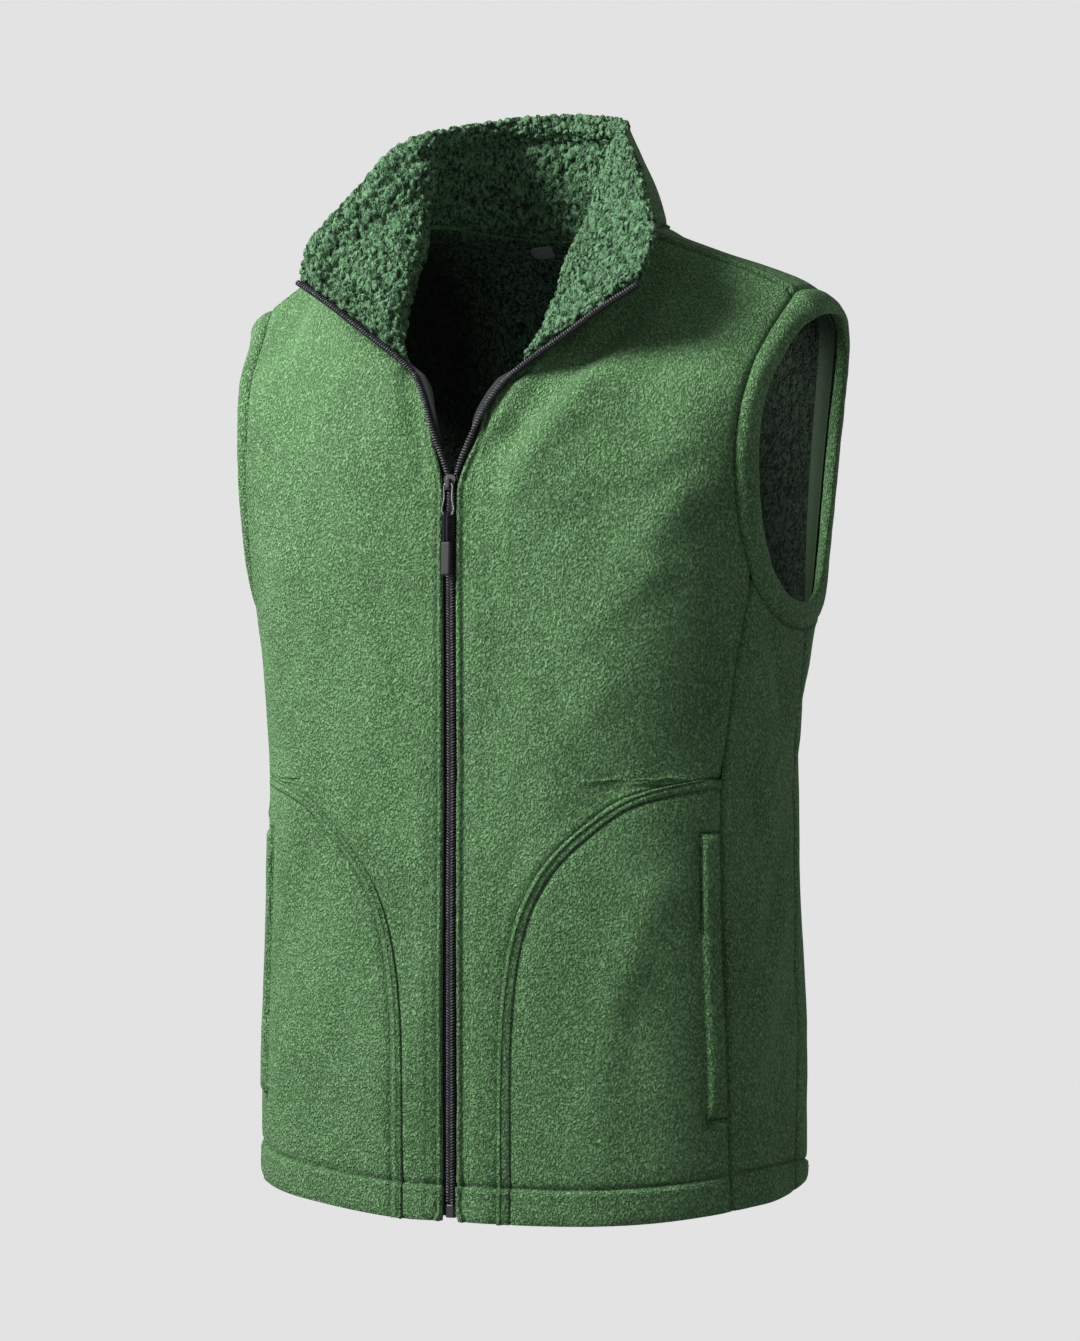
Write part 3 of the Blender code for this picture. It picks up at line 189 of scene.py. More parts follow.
def fleece_material(name, tip, shaded_pit, seam_shade):
    """Pits between the tufts are painted darker, as painted shade. Beside seams and stitch rows,
    where the nap is pressed, an attribute adds more painted shade.
    """
    material, tree, shader = new_material(
        name, IOR=1.54, Roughness=0.95, Specular_IOR_Level=0.15,
        Sheen_Weight=0.1, Sheen_Roughness=0.5, Sheen_Tint=linear("9cc294"))
    winding = ripple(tree, TUFT * WIND, (1.0, 1.0, 1.4), (0.2, 0.75, 0.1), warp=0.6, detail=1.0)
    worm = add(tree, "MapRange", {0: winding, 1: 0.38, 2: 0.62})
    clump = tufts(tree, TUFT, (1.0, 1.0, 1.35), (0.3, 0.6, 0.2))
    relief = add(tree, "Math", {0: clump, 1: 0.35, 2: worm}, operation="MULTIPLY_ADD")
    brushed = ripple(tree, BRUSHED, stretch=(1, 1, 1.8), detail=3.0)
    patch = add(tree, "MapRange", {0: brushed, 1: 0.35, 2: 0.65, 3: -0.12, 4: 0.12})
    light = add(tree, "MapRange", {0: relief, 1: 0.0, 2: 1.2})
    shade = add(tree, "Math", {0: light, 1: patch}, operation="ADD", use_clamp=True)
    # painted shade: the nap is darker where its relief is low, between the tufts
    napped = add(tree, "Mix", {0: shade, 6: linear(shaded_pit), 7: linear(tip)}, **COLOUR_MIX)
    # painted shade: along seams and stitch rows the nap goes to the dark seam colour, where the
    # attribute says
    sunk = add(tree, "Attribute", out="Fac", attribute_name="sunk", attribute_type="GEOMETRY")
    colour = add(tree, "Mix", {0: sunk, 6: napped, 7: linear(seam_shade)}, **COLOUR_MIX)
    surface(tree, shader, colour, relief, 1.0, 1.8 * MM)
    return material


FLEECE = fleece_material(
    "brushed_polyester_fleece", tip="87b87f", shaded_pit="476c40", seam_shade="1c2f1b")
print("materials:", [m.name for m in bpy.data.materials])

# %% [markdown]
# ## The sherpa inside
# Sherpa is a long-pile polyester knit, tumbled hot until the pile curls and gathers in knots of
# 4 to 6 mm. The knots themselves are shaped in the mesh further on. The material adds what is
# too fine for it: strands that wind over each knot, and roots painted dark, as painted shade
# between the curls. Real strands are under a millimetre wide. They are drawn 2 to 4 mm apart, so
# that they still show. The pile inside the body is flatter. It gets a material of its own, a little
# darker, as painted shade, and deep inside, away from the neck, more painted shade darkens it.


# %% Sherpa material
STRAND, CURL = 2.2 * MM, 3.5 * MM


def sherpa_material(name, tip, shaded_root, halo):
    """The attribute pile says how high a point stands, and the roots are painted darker as painted
    shade. A second attribute says where more painted shade goes: along the collar's neck seam, and
    deep inside the body.
    """
    material, tree, shader = new_material(
        name, IOR=1.54, Roughness=0.9, Specular_IOR_Level=0.15,
        Sheen_Weight=halo, Sheen_Roughness=0.5, Sheen_Tint=linear("a9cfab"))
    noise = ripple(tree, STRAND, warp=2.2, detail=2.0)
    off = add(tree, "Math", {0: noise, 1: 0.5}, operation="SUBTRACT")
    folded = add(tree, "Math", {0: off}, operation="ABSOLUTE")
    ridge = add(tree, "MapRange", {0: folded, 1: 0.0, 2: 0.13, 3: 1.0, 4: 0.0})
    winding = ripple(tree, CURL, (1.0, 1.0, 1.7), (0.4, 0.5, 0.1), warp=1.4, detail=1.0)
    curls = add(tree, "MapRange", {0: winding, 1: 0.35, 2: 0.58})
    combed = add(tree, "Math", {0: ridge, 1: 0.25, 2: curls}, operation="MULTIPLY_ADD")
    pile = add(tree, "Attribute", out="Fac", attribute_name="pile", attribute_type="GEOMETRY")
    relief = add(tree, "Math", {0: pile, 1: 0.5, 2: combed}, operation="MULTIPLY_ADD")
    shade = add(tree, "MapRange", {0: relief, 1: 0.4, 2: 1.5})
    # painted shade: the pile is darker low down, at its roots, than on top
    curled = add(tree, "Mix", {0: shade, 6: linear(shaded_root), 7: linear(tip)}, **COLOUR_MIX)
    # painted shade: a near-black green where the attribute says, along the collar's neck seam and
    # deep inside the body
    sunk = add(tree, "Attribute", out="Fac", attribute_name="sunk", attribute_type="GEOMETRY")
    colour = add(tree, "Mix", {0: sunk, 6: curled, 7: linear("0c130c")}, **COLOUR_MIX)
    surface(tree, shader, colour, relief, 1.0, 2.6 * MM)
    return material


SHERPA = sherpa_material("curled_sherpa_pile", tip="86b988", shaded_root="13301a", halo=0.1)
# painted shade: the pile inside the body is a darker copy of the collar's pile
SHADED_LINING = sherpa_material("flattened_sherpa_pile", tip="7ba680", shaded_root="102614", halo=0.0)
print("sherpa tip, linear:", [round(c, 3) for c in linear("86b988")[:3]])

# %% [markdown]
# ## Knit, webbing, nylon, zinc, steel and soft PVC
# The armhole facing is a smooth warp-knit tricot: fine upright ribs, a little gloss. The zip's tape
# is woven polyester, matt, with a rib about every 0.9 mm. Its coil is black extruded nylon
# filament,
# bent to teeth: smooth enough to glint. The teeth are painted a lighter grey than the nylon is, as
# painted highlight for those glints. Below the teeth lies the dull cord that they are sewn round.
# The slider is die-cast zinc with gloss paint. The bail is drawn steel wire, polished. The pull's
# end is moulded soft PVC, matt, with a fine eggshell grain. The tab at the neck is folded grey
# webbing, painted much lighter than it is, as painted light, since it hangs in shade.


# %% Materials of the small parts
def ribbed_material(name, tip, shaded_pit, rib, along, gloss=0.8, deep=0.5):
    """Cloth with fine ribs every rib metres along one direction, and painted shade: the colour is
    darker in the troughs.
    """
    material, tree, shader = new_material(name, IOR=1.54, Roughness=gloss, Specular_IOR_Level=0.3)
    place = add(tree, "TexCoord", out="Object")
    way = add(tree, "VectorMath", {0: place, 1: along}, out="Value", operation="DOT_PRODUCT")
    turn = add(tree, "Math", {0: way, 1: 2 * math.pi / rib}, operation="MULTIPLY")
    wave = add(tree, "Math", {0: turn}, operation="SINE")
    fuzz = ripple(tree, rib * 0.8, detail=2.0)
    height = add(tree, "Math", {0: fuzz, 1: 0.9, 2: wave}, operation="MULTIPLY_ADD")
    shade = add(tree, "MapRange", {0: height, 1: -0.8, 2: 1.5})
    # painted shade: darker in the troughs between the ribs
    colour = add(tree, "Mix", {0: shade, 6: linear(shaded_pit), 7: linear(tip)}, **COLOUR_MIX)
    surface(tree, shader, colour, height, deep, 0.2 * MM)
    return material


def hard_material(name, light, dark, grain, deep=0.3, **constants):
    """A hard or rubbery surface with a fine grain and a slightly uneven colour."""
    material, tree, shader = new_material(name, **constants)
    cloud = add(tree, "MapRange", {0: ripple(tree, grain * 8, detail=3.0), 1: 0.35, 2: 0.65})
    colour = add(tree, "Mix", {0: cloud, 6: linear(dark), 7: linear(light)}, **COLOUR_MIX)
    surface(tree, shader, colour, ripple(tree, grain, detail=2.0), deep, 0.08 * MM)
    return material


UP, ACROSS = (0, 0, 1), (1, 0, 0)
TRICOT = ribbed_material("tricot_facing", "213a21", "142614", 0.9 * MM, UP, gloss=0.6)
TAPE = ribbed_material("woven_polyester_tape", "28282c", "101012", 0.9 * MM, UP)
BRAID = ribbed_material("braided_polyester_cord", "2b2b2e", "0e0e10", 0.5 * MM, UP, deep=0.8)
THREAD = hard_material(
    "spun_polyester_thread", "6d9266", "4c6d46", 0.3 * MM, Roughness=0.7, IOR=1.54)
# painted light: the loop is painted a much lighter grey than its webbing, since it hangs in shade
WEBBING_PAINTED_LIGHT = ribbed_material("folded_loop_webbing", "b4b4ba", "55555b", 0.9 * MM, ACROSS)
# painted highlight: the teeth are a lighter grey than black nylon, to stand for their glints
NYLON_PAINTED_GLINT = hard_material(
    "extruded_nylon_coil", "6a6a72", "2b2b30", 0.4 * MM, deep=0.1, Roughness=0.28, IOR=1.53)
CORE = hard_material(
    "cord_inside_the_coil", "131315", "0a0a0b", 0.5 * MM, deep=0.4, Roughness=0.85, IOR=1.5)
ZINC = hard_material(
    "painted_die_cast_zinc", "161618", "0e0e10", 0.25 * MM, deep=0.15,
    Roughness=0.42, IOR=1.5, Coat_Weight=0.6, Coat_Roughness=0.12)
STEEL = hard_material(
    "polished_steel_wire", "b9bcc2", "8f9298", 0.3 * MM, deep=0.1, Metallic=1.0, Roughness=0.24)
PVC = hard_material(
    "moulded_soft_pvc", "19191b", "111113", 0.35 * MM, deep=0.5, Roughness=0.58, IOR=1.52)
print("materials:", [m.name for m in bpy.data.materials])

# %% [markdown]
# ## From solid to cloth
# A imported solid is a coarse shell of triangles. Cloth made from it starts with its own corners:
# triangles are joined back to four-sided faces, the cut edges are bevelled so they roll, and
# subdivision rounds the rest. Subdivision shrinks a curved shell a little, so the cage is first
# pushed out by just as much, and the cloth passes through the solid's own corners.


# %% Read a solid as outside, inside and cut edge
OUTSIDE, INSIDE, EDGE = 0, 1, 2
SHARP = math.radians(48)
SPLINTER = 30 * MM * MM      # a smaller group of faces belongs to its neighbours
TIGHT, MOST_PUSH = 2.4 * MM, 1.5 * MM      # edges shorter than that get no push


def is_sharp(edge):
    return len(edge.link_faces) == 2 and edge.calc_face_angle(0.0) > SHARP


def face_groups(cage):
    """Faces that meet without a sharp edge between them, the largest groups first."""
    cage.faces.ensure_lookup_table()
    left, groups = set(cage.faces), []
    while left:
        first = min(left, key=lambda f: f.index)
        left.discard(first)
        group, queue = [], [first]
        while queue:
            face = queue.pop()
            group.append(face)
            for edge in face.edges:
                if is_sharp(edge):
                    continue
                for other in edge.link_faces:
                    if other in left:
                        left.discard(other)
                        queue.append(other)
        groups.append(group)
    return sorted(groups, key=lambda g: -sum(f.calc_area() for f in g))


def outwardness(group, axis):
    """Above 0 where a group of faces looks away from the upright line through axis."""
    total = 0.0
    for face in group:
        away = face.calc_center_median() - Vector((axis[0], axis[1], 0))
        away.z = 0
        total += away.normalized().dot(face.normal) * face.calc_area()
    return total


def joined_solid(node):
    """The node's solid, with the points of its triangles joined."""
    cage = bmesh.new()
    cage.from_mesh(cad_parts[node].data)
    bmesh.ops.remove_doubles(cage, verts=cage.verts, dist=1e-6)
    return cage


def as_mesh(cage, name):
    """A smooth mesh of the cage, which is used up."""
    for face in cage.faces:
        face.smooth = True
    mesh = bpy.data.meshes.new(name)
    cage.to_mesh(mesh)
    cage.free()
    return mesh


def bevelled(cage, edges, width, segments):
    """Rounds the edges of a cage."""
    bmesh.ops.bevel(
        cage, geom=edges, offset=width, offset_type="OFFSET", segments=segments, profile=0.5,
        affect="EDGES", clamp_overlap=True, material=-1)


def read_cage(node, axis=(0, 0)):
    """The node's solid as four-sided faces, marked outside, inside or cut edge."""
    cage = joined_solid(node)
    bmesh.ops.join_triangles(
        cage, faces=cage.faces, angle_face_threshold=1.0, angle_shape_threshold=1.3)
    cage.normal_update()
    groups = face_groups(cage)
    for face in cage.faces:
        face.material_index = EDGE
    shells = sorted(groups[:2], key=lambda g: -outwardness(g, axis))
    for number, shell in enumerate(shells):
        for face in shell:
            face.material_index = number
    for group in groups[2:]:
        if sum(f.calc_area() for f in group) < SPLINTER:
            beside = [o.material_index for f in group for e in f.edges for o in e.link_faces
                      if o not in group]
            for face in group:
                face.material_index = max(set(beside), key=beside.count)
    return cage


def is_border(edge):
    """True where outside, inside and cut edge meet, and at the corners of the cut edge."""
    kinds = {f.material_index for f in edge.link_faces}
    return len(kinds) > 1 or (kinds == {EDGE} and is_sharp(edge))


def as_arrays(mesh):
    """A mesh's points and its points' normals."""
    points = np.zeros(len(mesh.vertices) * 3)
    mesh.vertices.foreach_get("co", points)
    normals = np.zeros(len(mesh.vertices) * 3)
    mesh.vertex_normals.foreach_get("vector", normals)
    return points.reshape(-1, 3), normals.reshape(-1, 3)


def put(mesh, points):
    """Moves a mesh's points to these places."""
    mesh.vertices.foreach_set("co", points.ravel())
    mesh.update()


def subdivided(mesh, level):
    """The mesh after that many rounds of subdivision, on its limit surface."""
    holder = bpy.data.objects.new("cage", mesh)
    bpy.context.collection.objects.link(holder)
    rounds = holder.modifiers.new("rounds", "SUBSURF")
    rounds.levels = rounds.render_levels = level
    ready = bpy.data.meshes.new_from_object(
        holder.evaluated_get(bpy.context.evaluated_depsgraph_get()))
    bpy.data.objects.remove(holder)
    return ready


def through_corners(mesh, level):
    """Subdivides so that the result still passes through the cage's own corners.
    The push is kept small, and there is none in the tight rows of a rolled edge."""
    wanted, _ = as_arrays(mesh)
    reached, _ = as_arrays(subdivided(mesh, 1))
    push = wanted - reached[:len(wanted)]
    ends = np.zeros(len(mesh.edges) * 2, np.int64)
    mesh.edges.foreach_get("vertices", ends)
    ends = ends.reshape(-1, 2)
    short = np.linalg.norm(wanted[ends[:, 0]] - wanted[ends[:, 1]], axis=1) < TIGHT
    push[np.unique(ends[short])] = 0
    far = np.maximum(1, np.linalg.norm(push, axis=1) / MOST_PUSH)
    put(mesh, wanted + push / far[:, None])
    return subdivided(mesh, level)


def cut_line(node, axis=(0, 0)):
    """Points about every 4 mm round the outside edge of a panel, in order."""
    cage = read_cage(node, axis)
    crease = cage.edges.layers.float.new("crease_edge")
    for edge in cage.edges:
        edge[crease] = 1.0 if is_border(edge) else 0.0
    fine = bmesh.new()
    fine.from_mesh(through_corners(as_mesh(cage, "line"), 2))
    fine.verts.ensure_lookup_table()
    follows = {}
    for edge in fine.edges:
        kinds = {f.material_index for f in edge.link_faces}
        if OUTSIDE in kinds and len(kinds) > 1:
            a, b = edge.verts[0].index, edge.verts[1].index
            follows.setdefault(a, []).append(b)
            follows.setdefault(b, []).append(a)
    places = {i: fine.verts[i].co.copy() for i in follows}
    fine.free()
    loops, unused = [], set(follows)
    while unused:
        loops.append(walked(min(unused), follows, places, unused))
    return max(loops, key=len)


def walked(here, follows, places, unused):
    """Walks along joined points, as straight on as it can, and uses them up."""
    loop, ahead = [], Vector()
    while here is not None:
        unused.discard(here)
        loop.append(places[here])
        options = [n for n in follows[here] if n in unused]
        if not options:
            return loop
        chosen = max(options, key=lambda n: (places[n] - places[here]).normalized().dot(ahead))
        ahead = (places[chosen] - places[here]).normalized()
        here = chosen


print("nodes:", len(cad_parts))

# %% [markdown]
# ## Where the seams are
# A seam is where the cut edge of one panel lies against its neighbour. So the seams are found and
# not drawn: each point of a panel's edge line that is close to the neighbour's solid belongs to it.


# %% Find the seams
SOLIDS = {}
for name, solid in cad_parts.items():
    corners = [v.co.copy() for v in solid.data.vertices]
    SOLIDS[name] = BVHTree.FromPolygons(corners, [tuple(p.vertices) for p in solid.data.polygons])

PANELS = [f"{piece}_{side}" for side in "LR" for piece in ("front", "pocket_panel", "side_front")]
PANELS.append("back")
CUT_LINES = {panel: cut_line(panel) for panel in PANELS}


SKIP = 3      # points that a run may miss


def longest_run(loop, belongs):
    """The longest stretch of a closed loop whose points belong, but for gaps of a few points."""
    count = len(loop)
    flags = [belongs(p) for p in loop]
    if all(flags):
        return loop + loop[:1]
    start = flags.index(False)
    best, run, missed = [], [], 0
    for step in range(1, count + SKIP + 2):
        i = (start + step) % count
        if flags[i] and step <= count:
            run.append(loop[i])
            missed = 0
        elif run:
            missed += 1
            if missed > SKIP:
                best, run, missed = max(best, run, key=len), [], 0
    return max(best, run, key=len)


def evenly(line, step):
    """The line with a point every step metres."""
    points = np.array(line)
    lengths = np.linalg.norm(np.diff(points, axis=0), axis=1)
    along = np.concatenate([[0], np.cumsum(lengths)])
    wanted = np.linspace(0, along[-1], max(2, round(along[-1] / step)))
    return np.column_stack([np.interp(wanted, along, points[:, k]) for k in range(3)])


STEP = 1.5 * MM      # from point to point of a seam's line


def seam_line(panel, other, reach):
    """The edge of panel that lies against the other piece."""
    run = longest_run(CUT_LINES[panel], lambda p: SOLIDS[other].find_nearest(p)[3] < reach)
    return evenly(run, STEP) if len(run) > 2 else np.zeros((0, 3))


def zip_line(side):
    """The free edge of a front, beside the zip, from the hem's corner up to the neck seam."""
    others = ["back", "collar"]
    others += [f"{kind}_{side}" for kind in ("pocket_panel", "side_front", "armhole_band")]
    def free(point):
        above = point.z > -0.696 or abs(point.x) < 6.6 * MM
        return above and all(SOLIDS[o].find_nearest(point)[3] > 2.5 * MM for o in others)
    return evenly(longest_run(CUT_LINES[f"front_{side}"], free), STEP)


ZIP_LINES = {side: zip_line(side) for side in "LR"}
for side in "LR":
    print("zip edge", side, ZIP_LINES[side][0].round(3), ZIP_LINES[side][-1].round(3))
print("edge points:", {p: len(CUT_LINES[p]) for p in PANELS})

# %% [markdown]
# ## Noise in numbers
# Two kinds of noise shape the meshes. Soft waves make broad unevenness. Knots split space into
# rounded cells of a given size, the way curled pile gathers.


# %% Waves and knots
def lattice(cells, salt):
    """A steady random number from 0 to 1 for each whole-numbered place."""
    x, y, z = cells.T
    mixed = x * 73856093 ^ y * 19349663 ^ z * 83492791 ^ salt * 2654435
    mixed = (mixed ^ (mixed >> 13)) * 1274126177 & 0x7FFFFFFF
    return (mixed ^ (mixed >> 11)) % 100003 / 100003


def waves(points, size, salt=1):
    """Soft noise from -1 to 1 with waves about size metres long."""
    scaled = points / size
    whole = np.floor(scaled).astype(np.int64)
    part = scaled - whole
    part = part * part * (3 - 2 * part)
    total = np.zeros(len(points))
    for corner in range(8):
        step = np.array([corner & 1, corner >> 1 & 1, corner >> 2 & 1])
        share = np.prod(np.where(step, part, 1 - part), axis=1)
        total += share * lattice(whole + step, salt)
    return 2 * total - 1


def knots(points, size, salt=7):
    """How far each point is from its nearest and its second nearest knot, in sizes."""
    scaled = points / size
    whole = np.floor(scaled).astype(np.int64)
    near = np.full(len(points), 9.0)
    second = np.full(len(points), 9.0)
    for step in np.ndindex(3, 3, 3):
        cell = whole + np.array(step) - 1
        centre = cell + np.column_stack([lattice(cell, salt + k) for k in range(3)])
        gap = np.linalg.norm(scaled - centre, axis=1)
        second = np.minimum(second, np.maximum(near, gap))
        near = np.minimum(near, gap)
    return near, second


test = waves(np.random.default_rng(1).random((2000, 3)), 0.05)
print("waves run from", round(test.min(), 2), "to", round(test.max(), 2))

# %% [markdown]
# ## Build the cloth
# Each cloth piece is a thin shell on its solid. It is subdivided, and where a stitch line or an
# edge needs it, or where pile shows, it is cut finer there only.


# %% Make one shell
def shell_of(node, roll, level, axis=(0, 0)):
    """The node's shell with its cut edges rolled and its faces subdivided."""
    cage = read_cage(node, axis)
    if roll:
        bevelled(cage, [e for e in cage.edges if is_border(e)], roll, 2)
    return through_corners(as_mesh(cage, node), level)


def everywhere(points):
    return np.ones(len(points), bool)


def finer(mesh, wanted, longest):
    """Halves the edges that are longer than longest where wanted(points) is true."""
    for _ in range(6):
        cut = bmesh.new()
        cut.from_mesh(mesh)
        flags = wanted(as_arrays(mesh)[0])
        edges = [e for e in cut.edges if flags[e.verts[0].index] and flags[e.verts[1].index]
                 and e.calc_length() > longest]
        if edges:
            bmesh.ops.subdivide_edges(cut, edges=edges, cuts=1, use_grid_fill=True)
            cut.to_mesh(mesh)
        cut.free()
        if not edges:
            break
    return mesh


def kinds_of_points(mesh):
    """For each point, whether it is on an outside face, on an inside face, on the cut edge."""
    kinds = np.zeros((3, len(mesh.vertices)), bool)
    for face in mesh.polygons:
        kinds[face.material_index, list(face.vertices)] = True
    return kinds


def place_piece(name, mesh, materials, body, *nodes, slot=None):
    """Makes the mesh a piece of the vest that rides on a body and stands for its solids."""
    kinds = np.zeros(len(mesh.polygons), np.int32)
    mesh.polygons.foreach_get("material_index", kinds)
    mesh.materials.clear()
    for material in materials:
        mesh.materials.append(material)
    mesh.polygons.foreach_set("material_index", np.minimum(kinds, len(materials) - 1))
    piece = bpy.data.objects.new(name, mesh)
    bpy.context.collection.objects.link(piece)
    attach(piece, body)
    if nodes:
        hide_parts(*nodes)
    return piece


def moved(mesh, offsets, normals):
    """Moves each point along its normal by its offset."""
    put(mesh, as_arrays(mesh)[0] + normals * offsets[:, None])


CLOTH = {}
NECK = (0, -0.01)     # the neck's middle, for telling the collar's outside from its inside
for node in ("front_L", "front_R", "pocket_panel_L", "pocket_panel_R", "side_front_L",
             "side_front_R", "back", "pocket_welt_L", "pocket_welt_R"):
    CLOTH[node] = shell_of(node, roll=1.5 * MM, level=2)
CLOTH["collar"] = shell_of("collar", roll=0, level=3, axis=NECK)
for side in "LR":
    CLOTH[f"armhole_band_{side}"] = shell_of(f"armhole_band_{side}", roll=0, level=2)
    CLOTH[f"armhole_facing_{side}"] = shell_of(f"armhole_facing_{side}", roll=0.8 * MM, level=1)
    tape = shell_of(f"zip_tape_{side}", roll=0, level=0)
    CLOTH[f"zip_tape_{side}"] = finer(tape, everywhere, 6 * MM)
CLOTH["neck_loop"] = shell_of("neck_loop", roll=0.3 * MM, level=2)
print("points:", {name: len(mesh.vertices) for name, mesh in CLOTH.items()})

# %% [markdown]
# ## Distances from the seams
# Everything a needle does to cloth depends on how far a place is from a seam. Each edge gets
# its line, and a search tree over that line gives the distance of every point of the cloth.


# %% Lines of the seams and of the hem
def tree_of(points):
    tree = KDTree(len(points))
    for number, point in enumerate(points):
        tree.insert(point, number)
    tree.balance()
    return tree


def distances(points, line, limit=30 * MM):
    """How far each point is from the line; far ones just get the limit."""
    if len(line) < 2:
        return np.full(len(points), limit)
    tree = tree_of(evenly(line, 0.8 * MM))
    low, high = line.min(0) - limit, line.max(0) + limit
    close = np.where(((points > low) & (points < high)).all(1))[0]
    result = np.full(len(points), limit)
    for number in close:
        result[number] = min(limit, tree.find(points[number])[2])
    return result


def hem_line(panel):
    """The bottom edge of a panel: where its edge runs level below 66 cm down."""
    loop = CUT_LINES[panel]
    level = {tuple(p) for p, q in zip(loop, loop[1:] + loop[:1])
             if p.z < -0.66 and abs(q.z - p.z) < 0.4 * (q - p).length}
    return evenly(longest_run(loop, lambda p: tuple(p) in level), STEP)


def kind_of(piece):
    """front for front_L, back for back."""
    return piece[:-2] if piece[-2:] in ("_L", "_R") else piece


BESIDE = {
    "front": ("pocket_panel", "side_front", "back", "armhole_band", "collar"),
    "pocket_panel": ("front", "side_front"),
    "side_front": ("front", "pocket_panel", "back", "armhole_band"),
    "back": ("front_L", "side_front_L", "armhole_band_L",
             "front_R", "side_front_R", "armhole_band_R", "collar"),
}
LINES = {}
for panel in PANELS:
    kind = kind_of(panel)
    for other in BESIDE[kind]:
        name = other if panel == "back" or other in ("back", "collar") else other + panel[-2:]
        LINES[panel, name] = seam_line(panel, name, 2.5 * MM if panel == "back" else 4 * MM)
    if kind == "front":
        LINES[panel, "zip"] = ZIP_LINES[panel[-1]]
    LINES[panel, "hem"] = hem_line(panel)
print("lengths in mm:", {k: round(len(v) * STEP / MM) for k, v in LINES.items()})

# %% [markdown]
# ## What the needle does
# Where two panels join, the seam draws the cloth down. Where a line of stitches runs beside a
# seam, the strip between them stays puffy and the line itself is a narrow dent. One table row
# for each kind of edge gives these sizes, as they look in a garment of this weight.

# %% Table of the seams
# panel, neighbour: drawn down by, puffed up by, stitch line at, dent there (all in mm)
SEAMS = (
    ("front", "zip", 0.0, 0.9, 6.6, 1.8),
    ("front", "pocket_panel", 0.5, 0.0, 0.0, 0.0),
    ("front", "side_front", 1.2, 0.2, 2.0, 0.3),
    ("front", "back", 0.5, 0.7, 6.2, 1.4),
    ("front", "armhole_band", 1.0, 0.0, 0.0, 0.0),
    ("front", "collar", 0.9, 0.0, 0.0, 0.0),
    ("front", "hem", 0.6, 0.7, 25.0, 1.2),
    ("pocket_panel", "front", 0.3, 0.9, 6.3, 1.2),
    ("pocket_panel", "side_front", 1.2, 0.2, 2.0, 0.3),
    ("pocket_panel", "hem", 0.6, 0.7, 25.0, 1.2),
    ("side_front", "front", 1.1, 0.0, 0.0, 0.0),
    ("side_front", "pocket_panel", 1.1, 0.0, 0.0, 0.0),
    ("side_front", "back", 0.7, 0.3, 2.2, 0.5),
    ("side_front", "armhole_band", 1.0, 0.0, 0.0, 0.0),
    ("side_front", "hem", 0.6, 0.7, 25.0, 1.2),
    ("back", "side_front", 0.7, 0.0, 0.0, 0.0),
    ("back", "front", 0.5, 0.0, 0.0, 0.0),
    ("back", "armhole_band", 1.0, 0.0, 0.0, 0.0),
    ("back", "collar", 0.9, 0.0, 0.0, 0.0),
    ("back", "hem", 0.6, 0.7, 25.0, 1.2),
)
DRAWN_HALF, DENT_HALF, HOLLOW_HALF = 2.2 * MM, 1.25 * MM, 4.5 * MM     # half widths
WIDEST_PUFF = 7 * MM
ROW_FROM = 3 * MM      # a stitch line nearer to its edge than this is hidden in the seam


def bell(off, half):
    """1 on a line, falling softly to about a third at half metres beside it."""
    return np.exp(-(off / half) ** 2)


def seams_of(panel):
    """The table's rows for one panel, each with its line."""
    for kind, other, drawn, puffed, at, dent in SEAMS:
        for (owner, neighbour), line in LINES.items():
            if owner == panel and kind == kind_of(owner) and other == kind_of(neighbour):
                yield neighbour, line, drawn * MM, puffed * MM, at * MM, dent * MM


def seam_relief(panel, points):
    """How far each point stands up or down for the seams of its panel."""
    height = np.zeros(len(points))
    for _, line, drawn, puffed, at, dent in seams_of(panel):
        far = distances(points, line, max(at, 6 * MM) + 8 * MM)
        height -= drawn * bell(far, DRAWN_HALF)
        if at:
            wide = min(at, WIDEST_PUFF)
            inside = np.clip((far - (at - wide)) / wide, 0, 1)
            height += puffed * np.sin(math.pi * inside) ** 0.7 * (far < at)
            pucker = 1 + 0.25 * waves(points, 5 * MM, 3)
            height -= dent * pucker * bell(far - at, DENT_HALF)
            height -= 0.3 * dent * bell(far - at, HOLLOW_HALF)
    return height


def pressed_and_shaded_nap(panel, points):
    """How much painted shade darkens the nap at each point, 0 to 1: along a seam and a row of
    stitches, where the nap is also pressed down.
    """
    seam_shade = np.zeros(len(points))
    for neighbour, line, _, _, at, _ in seams_of(panel):
        far = distances(points, line, max(at, 6 * MM) + 8 * MM)
        if neighbour not in ("hem", "zip"):
            seam_shade = np.maximum(seam_shade, 0.6 * bell(far, 0.9 * MM))
        if at > ROW_FROM:
            seam_shade = np.maximum(seam_shade, 0.6 * bell(far - at, 0.8 * MM))
    return seam_shade


def keep(mesh, name, values):
    """Stores one number for each point, for a material to read."""
    kept = mesh.attributes.new(name, "FLOAT", "POINT")
    kept.data.foreach_set("value", values.astype(np.float32))


print("rows:", len(SEAMS))

# %% [markdown]
# ## Creases
# Fleece is thick, so it creases softly. Each row is one trough or ridge, drawn as a line on the
# front, the back or a side of the vest, and no two are alike. They are deepest where the cloth is
# held: beside the open zip, under the arms and above the pockets.

